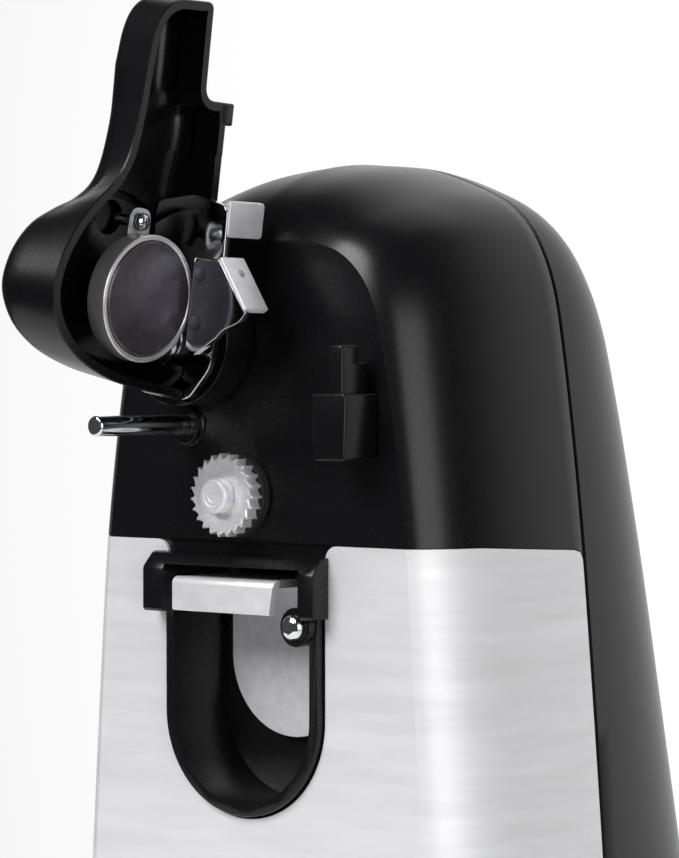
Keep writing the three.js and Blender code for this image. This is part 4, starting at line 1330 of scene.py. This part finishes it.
@dataclass
class LeverCover:
    """The lever's hollow black cover, drawn closed: u along +X, w along +Z, pivot at the origin."""

    bench: Bench
    rim_w: float = -8.5
    nose_points: int = 260
    tail_step: float = 0.6
    # the nose and the handle's lower edge as (u, y), at the rim and high on the back
    rim_nose: Sequence[Point2] = (
        (-13, -12), (-11.4, -20), (-8.4, -36), (-3.6, -47), (2, -53), (9, -55.8), (16.4, -54.6),
        (23.4, -50.8), (28.8, -46), (33, -41.4), (38, -38.2), (46, -36.4), (57, -35.2),
    )  # fmt: skip
    back_nose: Sequence[Point2] = (
        (-12, -12), (-10.8, -19), (-7.2, -36.5), (-2.8, -47.4), (2.6, -53.8), (9.4, -56.8), (16.6, -55.2),
        (22.8, -50.4), (26.2, -44.6), (29, -38.6), (33, -34.6), (44, -33.2), (57, -33.2),
    )  # fmt: skip

    @staticmethod
    def _bend(start: Point2, corner: Point2, stop: Point2, steps: int = 10) -> list[Point2]:
        """Draws a rounded corner, without its first point."""
        a, b, c = Vector(start), Vector(corner), Vector(stop)
        parts = [i / steps for i in range(1, steps + 1)]
        return [tuple(a * (1 - t) ** 2 + b * 2 * t * (1 - t) + c * t**2) for t in parts]

    def _line(self, start: Point2, stop: Point2, steps: int) -> list[Point2]:
        """Draws a straight in equal steps, without its first point."""
        return [tuple(Vector(start).lerp(Vector(stop), i / steps)) for i in range(1, steps + 1)]

    def outline(self, nose: Sequence[Point2]) -> list[Point2]:
        """Draws the cover's whole outline.

        Args:
            nose: The nose and the handle's lower edge.

        Returns:
            An outline with evenly spaced points, as many for any nose.
        """
        end = nose[-1]
        points = centripetal(nose, self.nose_points)
        points += self._line(end, (63, end[1] + 0.9), 10)
        points += self._bend((63, end[1] + 0.9), (70.6, end[1] + 2.6), (71.6, -26), 20)
        points += self._line((71.6, -26), (71.8, -18.4), 12)
        points += self._bend((71.8, -18.4), (71.8, -16.6), (70, -16.6), 6)
        points += self._line((70, -16.6), (54, -16.4), 26)
        points += self._bend((54, -16.4), (51.4, -16), (51.3, -13.4), 7)
        points += self._line((51.3, -13.4), (51.2, -9.3), 7)
        points += self._line((51.2, -9.3), (-10.6, -9.3), 100)
        points += self._bend((-10.6, -9.3), (-13, -9.4), (-13, -11), 6)
        return points

    def form(self, distance: float, top_w: float, bevel: float, cut_w: float) -> Solid:
        """Makes the cover's tray form: full at the rim, rounded at the back, lower over the handle.

        Args:
            distance: How far inside the outer surface.
            top_w: The height of its back.
            bevel: The back's rounding radius.
            cut_w: Where the form starts.

        Returns:
            The closed form.
        """
        rim, back = self.outline(self.rim_nose), self.outline(self.back_nose)
        if is_clockwise(rim):
            rim, back = list(reversed(rim)), list(reversed(back))
        if cut_w < self.rim_w:
            layers = [(distance, cut_w), (distance, self.rim_w)]
        else:
            layers = [(distance + 0.25, cut_w), (distance, cut_w + 0.3)]
        start_w = layers[-1][1]
        layers += [(distance, start_w + (top_w - bevel - start_w) * i / 6) for i in range(1, 7)]
        turns = [math.radians(90 * i / 9) for i in range(1, 10)]
        layers += [(distance + bevel * (1 - math.cos(a)), top_w - bevel * (1 - math.sin(a))) for a in turns]
        rings = []
        for inward, w in layers:
            part = min(max((w - self.rim_w) / 12, 0.0), 1.0)
            mixed = [(a[0] + (b[0] - a[0]) * part, a[1] + (b[1] - a[1]) * part) for a, b in zip(rim, back)]
            ring = []
            for u, y in inset(mixed, inward, 2 + round(inward * 2.2)):
                t = min(max((u - 20) / 28, 0.0), 1.0)
                ring.append(Vector((u, y, w - 3 * t * t * (3 - 2 * t) if w > 0 else w)))
            rings.append(ring)
        return Solid.loft(rings)

    def build(self) -> None:
        """Builds the cover with its guard ring, ribs, boss and tab."""
        shell = self.form(0, 8.2, 4.4, self.rim_w).cut(self.form(2, 6.2, 3, -30))
        profile = [(20.0, 8), (20.0, -7.4), (20.3, -7.6), (21.4, -7.6), (21.7, -7.4), (21.9, 8)]
        guard = Solid.turned((9.0, -28.2), profile, Axis.Z, 96, looped=True)
        ribs = [Solid.block((u - 0.8, u + 0.8), (-34.6, -17), (-6.2, 8), 0.3) for u in (54.4, 63.0)]
        profile = [(0, 8), (3.9, 8), (3.4, -2.1), (1.3, -2.1), (1.3, 4.6), (0, 4.6)]
        boss = Solid.turned((24.7, -27.2), profile, Axis.Z)
        limit = self.form(1, 7, 3.4, self.rim_w)
        for extra in (guard, *ribs, boss):
            shell = shell.join(extra.common(limit))
        shell = shell.join(Solid.block((46.4, 51.2), (-11.4, -7.2), (self.rim_w, -3), 0.4))
        shell = shell.cut(
            Solid.block((-20, 40), (-14.3, -11.9), (-30, 5.4)),
            Solid.block((-9, 40), (-14, -6), (-30, -8.2)),
            Solid.rod((0, 0), 4.3, -20, 0),
            Solid.rod((0, 0), 6.4, -20, -11.6),
        )
        placed = shell.moved(self.bench.from_lever())
        self.bench.piece("Lever_cover_shell", placed, MOULDED_ABS, "lever", ["lever_cover"], 26)


@dataclass
class LeverMetal:
    """The lever's hub, spindle, steel plate, blade, rivets and magnet."""

    bench: Bench
    plate_y: Point2 = (-14.0, -12.2)
    blade_y: Point2 = (-17.6, -15.8)
    rivets: Sequence[Point2] = ((4.6, -13.0), (15.0, -13.0))
    magnet: Point2 = (9.0, -28.2)
    magnet_screw: Point2 = (24.7, -27.2)
    sides: int = 96

    def add(
        self, name: str, solid: Solid, finish: Finish, body: str, node: str, smooth_deg: float = 32.0
    ) -> None:
        """Moves a closed-lever solid to the stored lever and makes it a piece.

        Args:
            name: The piece's name.
            solid: The solid, in the closed lever's millimetres.
            finish: Its surface.
            body: The CAD body that it rides on.
            node: The CAD node that it stands for.
            smooth_deg: Edges flatter than this shade smoothly.
        """
        self.bench.piece(name, solid.moved(self.bench.from_lever()), finish, body, [node], smooth_deg)

    def build(self) -> None:
        """Builds the lever's metal and the magnet."""
        profile = [(0, -0.4), (14.3, -0.4), (14.8, -0.9), (14.8, -8.9), (0, -8.9)]
        hub = Solid.turned((0, 0), profile, edge=0.3, sides=self.sides).cut(Solid.rod((0, 0), 4.03, -20, 5))
        self.add("Lever_hub_disc", hub, MOULDED_ABS, "lever", "lever_hub")
        profile = [
            (0, 17), (3.2, 17), (4, 16.2), (4, -14.3), (5.8, -14.3), (5.8, -15.0), (5.2, -15.4), (2.6, -15.4),
            (2.2, -15.0), (0, -14.95),
        ]  # fmt: skip
        stud = Solid.turned((0, 0), profile, edge=0.12)
        self.add("Lever_spindle_stud", stud, STAMPED_STEEL, "lever", "lever_spindle")
        self.build_plate()
        self.build_blade()
        self.build_magnet()

    def build_plate(self) -> None:
        """Builds the stamped plate with its turned-out flange."""
        corners = [(-12.4, -9.6), (-5, -15), (4, -16.2), (29.6, -15.6), (31.4, -6), (29, 4.8), (-12.4, 4.8)]
        plate = Solid.prism(rounded(corners, 2.0, 6), *self.plate_y, 0.25)
        tab = rounded([(23.2, -13.6), (30.9, -13.6), (30.9, -2.6), (23.2, -2.6)], 1.0, 4)
        flange = Solid.prism(tab, -15.95, -14.1, 0.25, Axis.Z)
        holes = [Solid.rod((0, 0), 4.03, -20, 0), *(Solid.rod(r, 1.63, -20, 0) for r in self.rivets)]
        self.add("Lever_side_plate", plate.cut(*holes), POLISHED_STEEL, "lever", "lever_plate")
        self.bench.piece("Plate_flange", flange.moved(self.bench.from_lever()), SATIN_STEEL, "lever", [])

    def build_blade(self) -> None:
        """Builds the blade: a flat face and the bent edge that pierces the lid."""
        corners = [
            (18.4, -10.9), (18.2, -18.2), (8.2, -26.6), (6.3, -25.1), (4, -20.7), (2.2, -19.1), (-2.2, -13.4),
            (-1.6, -10.9),
        ]  # fmt: skip
        flat = Solid.prism(rounded(corners, 0.5, 3), *self.blade_y, 0.15)
        edge = Vector((18.2 - 8.2, -18.2 + 26.6))
        half = edge.length / 2
        fold = Solid.block((-half, half), (-3.6, 3.6), (-0.8, 0.8), 0.25)
        turn = Matrix.Translation((13.8, -13.9, -21.9)) @ Matrix.Rotation(-math.atan2(edge.y, edge.x), 4, "Y")
        fold = fold.cut(Solid.rod((2.4, 0.6), 1.05, -3, 3, Axis.Z)).moved(turn)
        blade = flat.cut(*(Solid.rod(r, 1.63, -20, -15) for r in self.rivets))
        self.add("Cutting_blade", blade, POLISHED_STEEL, "lever", "cutter_blade")
        self.bench.piece("Piercing_edge", fold.moved(self.bench.from_lever()), SATIN_STEEL, "lever", [])
        profile = [
            (0, -11.9), (1.6, -11.9), (1.6, -14.1), (2.2, -14.1), (2.2, -15.7), (1.6, -15.7), (1.6, -17.6),
            (1.5, -17.62), (0, -17.63),
        ]  # fmt: skip
        for index, place in enumerate(self.rivets, 1):
            rivet = Solid.turned(place, profile, sides=32)
            self.add(f"Blade_rivet_head_{index}", rivet, POLISHED_STEEL, "lever", f"blade_rivet_{index}")

    def build_magnet(self) -> None:
        """Builds the magnet's cup, the magnet, its arm and its screw."""
        profile = [
            (0, -3.6), (12.4, -3.6), (13.1, -3.9), (13.4, -4.6), (13.4, -8.8), (13.2, -9.0), (12.5, -9.0),
            (12.3, -8.8), (12.3, -4.6), (0, -4.6),
        ]  # fmt: skip
        cup = Solid.turned(self.magnet, profile, Axis.Z, self.sides)
        self.add("Magnet_cup_shell", cup, NICKEL_PLATE, "magnet", "magnet_cup")
        disc = Solid.turned(self.magnet, [(0, -4.7), (12.1, -4.7), (12.1, -8.9), (11.8, -9.1), (0, -9.12)], Axis.Z, self.sides)
        self.add("Lid_magnet_disc", disc, SEALED_FERRITE, "magnet", "lid_magnet")
        away = Vector(self.magnet_screw) - Vector(self.magnet)
        corners = [(-4.5, -3.2), (18.6, -3.2), (18.6, 3.2), (-4.5, 3.2)]
        turn = Matrix.Translation((*self.magnet, 0)) @ Matrix.Rotation(math.atan2(away.y, away.x), 4, "Z")
        strip = Solid.prism(rounded(corners, 2.6, 5), -3.3, -2.5, 0.1, Axis.Z).moved(turn)
        strip = strip.cut(Solid.rod(self.magnet_screw, 1.5, -6, 0, Axis.Z))
        self.add("Magnet_arm_strip", strip, ZINC_PLATE, "magnet", "magnet_arm")
        profile = [
            (0, -5.2), (0.8, -5.1), (1.3, -4.9), (1.75, -4.5), (1.9, -4.2), (1.9, -3.7), (1.2, -3.7), (1.2, 3), (0, 4),
        ]  # fmt: skip
        screw = Solid.turned((0, 0), profile, Axis.Z, 48).cut(*Housing.cross_recess(-7, -4.6, 1.0, 0.22))
        screw.moved(Matrix.Translation((*self.magnet_screw, 0)))
        self.add("Magnet_arm_screw", screw, CHROME_PLATE, "lever", "magnet_screw")


# ---------------------------------------------------------------- studio


@dataclass
class Studio:
    """The floor, the light and the camera."""

    bench: Bench
    azimuth_deg: float = 39.7
    dip_deg: float = 0.84
    distance: float = 0.640
    focal_mm: float = 125.87
    sensor_mm: float = 36.0
    # from the lever's pivot to the point that the camera looks at
    aim: tuple[float, float, float] = (0.03244, 0.00726, -0.01967)

    def build(self) -> None:
        """Builds the floor, the surroundings, the lamps and the camera."""
        self.build_floor()
        self.build_surroundings()
        self.build_lamps()
        self.build_camera()

    def build_floor(self) -> None:
        """Lays a pale round table top under the object."""
        low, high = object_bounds()
        centre = (low + high) / 2
        shape = bmesh.new()
        bmesh.ops.create_circle(shape, cap_ends=True, segments=96, radius=0.36)
        mesh = bpy.data.meshes.new("Floor")
        shape.to_mesh(mesh)
        shape.free()
        mesh.transform(Matrix.Translation((centre.x, centre.y, low.z - 0.0002)))
        material, tree = new_material("Pale_laminate")
        colour = add_node(tree, "ShaderNodeValToRGB", {"Fac": Grain(120.0, detail=1.0).add(tree)})
        ends = colour.color_ramp.elements
        ends[0].color, ends[1].color = linear("#e9e9e9"), linear("#f0f0f0")
        shader = add_node(
            tree, "ShaderNodeBsdfPrincipled", {"Base Color": colour.outputs["Color"], "Roughness": 0.6}
        )
        add_node(tree, "ShaderNodeOutputMaterial", {"Surface": shader.outputs["BSDF"]})
        mesh.materials.append(material)
        floor = bpy.data.objects.new("Floor", mesh)
        bpy.context.scene.collection.objects.link(floor)
        floor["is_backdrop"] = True

    def build_surroundings(self) -> None:
        """Makes a white studio: bright behind the object, dimmer in front and overhead."""
        world = bpy.data.worlds.new("Studio")
        world.use_nodes = True
        bpy.context.scene.world = world
        tree = world.node_tree
        tree.nodes.clear()
        direction = add_node(tree, "ShaderNodeTexCoord").outputs["Generated"]
        parts = add_node(tree, "ShaderNodeSeparateXYZ", {"Vector": direction})
        ramp = add_node(
            tree, "ShaderNodeMapRange",
            {"Value": parts.outputs["Y"], "From Min": 0.2, "From Max": 0.8, "To Min": 0.0, "To Max": 1.0},
            interpolation_type="SMOOTHSTEP",
        )  # fmt: skip
        colour = add_node(tree, "ShaderNodeValToRGB", {"Fac": ramp.outputs["Result"]})
        ends = colour.color_ramp.elements
        ends[0].color, ends[1].color = linear("#48484b"), (1.02, 1.02, 1.02, 1.0)
        back = add_node(tree, "ShaderNodeBackground", {"Color": colour.outputs["Color"], "Strength": 1.0})
        add_node(tree, "ShaderNodeOutputWorld", {"Surface": back.outputs["Background"]})

    def build_lamps(self) -> None:
        """Hangs the soft lamps round the object."""
        target = self.bench.pivot
        for name, offset, size, power in (
            ("Key", (-0.25, -1.0, 0.85), 0.8, 23.0),
            ("Side", (1.1, -0.55, 0.1), 0.8, 6.5),
            ("Top", (0.0, 0.45, 1.1), 0.7, 1.0),
        ):
            light = bpy.data.lights.new(name, "AREA")
            light.shape, light.size, light.energy = "SQUARE", size, power
            lamp = bpy.data.objects.new(name, light)
            bpy.context.scene.collection.objects.link(lamp)
            lamp.location = target + Vector(offset)
            lamp.rotation_euler = (target - lamp.location).to_track_quat("-Z", "Y").to_euler()

    def build_camera(self) -> None:
        """Sets the camera at its angle, looking slightly down."""
        azimuth, dip = math.radians(self.azimuth_deg), math.radians(self.dip_deg)
        back = Vector((math.sin(azimuth) * math.cos(dip), -math.cos(azimuth) * math.cos(dip), math.sin(dip)))
        data = bpy.data.cameras.new("Camera")
        data.sensor_width, data.lens = self.sensor_mm, self.focal_mm
        camera = bpy.data.objects.new("Camera", data)
        bpy.context.scene.collection.objects.link(camera)
        camera.location = self.bench.pivot + Vector(self.aim) + back * self.distance
        camera.rotation_mode = "QUATERNION"
        camera.rotation_quaternion = (-back).to_track_quat("-Z", "Y")
        bpy.context.scene.camera = camera
        bpy.context.scene.view_settings.view_transform = "Standard"


def dress_kept_nodes(bench: Bench) -> None:
    """Gives every CAD node that is still shown its real finish.

    Args:
        bench: The frame and its finishes.
    """
    slots = {part["node"]: part["material_slot"] for part in bench.frame["record"]["subparts"]}
    for name, node in bench.frame["nodes"].items():
        if node.hide_render:
            continue
        finish = bench.paint.by_slot[slots[name]]
        node.data.materials.clear()
        node.data.materials.append(bench.paint.material(finish))
        LOG.info("%s keeps its shape, dressed as %s", name, finish.name)


def corners(box: tuple[Vector, Vector]) -> list[list[float]]:
    """Returns a box's two corners as plain lists."""
    return [[round(float(v), 6) for v in corner] for corner in box]


def main() -> None:
    """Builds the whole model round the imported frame."""
    logging.basicConfig(level=logging.INFO, format="%(name)s: %(message)s")
    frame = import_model()
    bench = Bench(frame, Paintshop())
    housing = Housing(bench, HousingForm())
    builders: list[Callable[[], None]] = [
        housing.build,
        BottleOpener(bench, housing).build,
        FrontFittings(bench).build,
        DriveWheel(bench).build,
        LeverCover(bench).build,
        LeverMetal(bench).build,
        Studio(bench).build,
    ]
    for build in builders:
        build()
    dress_kept_nodes(bench)


if __name__ == "__main__":
    main()
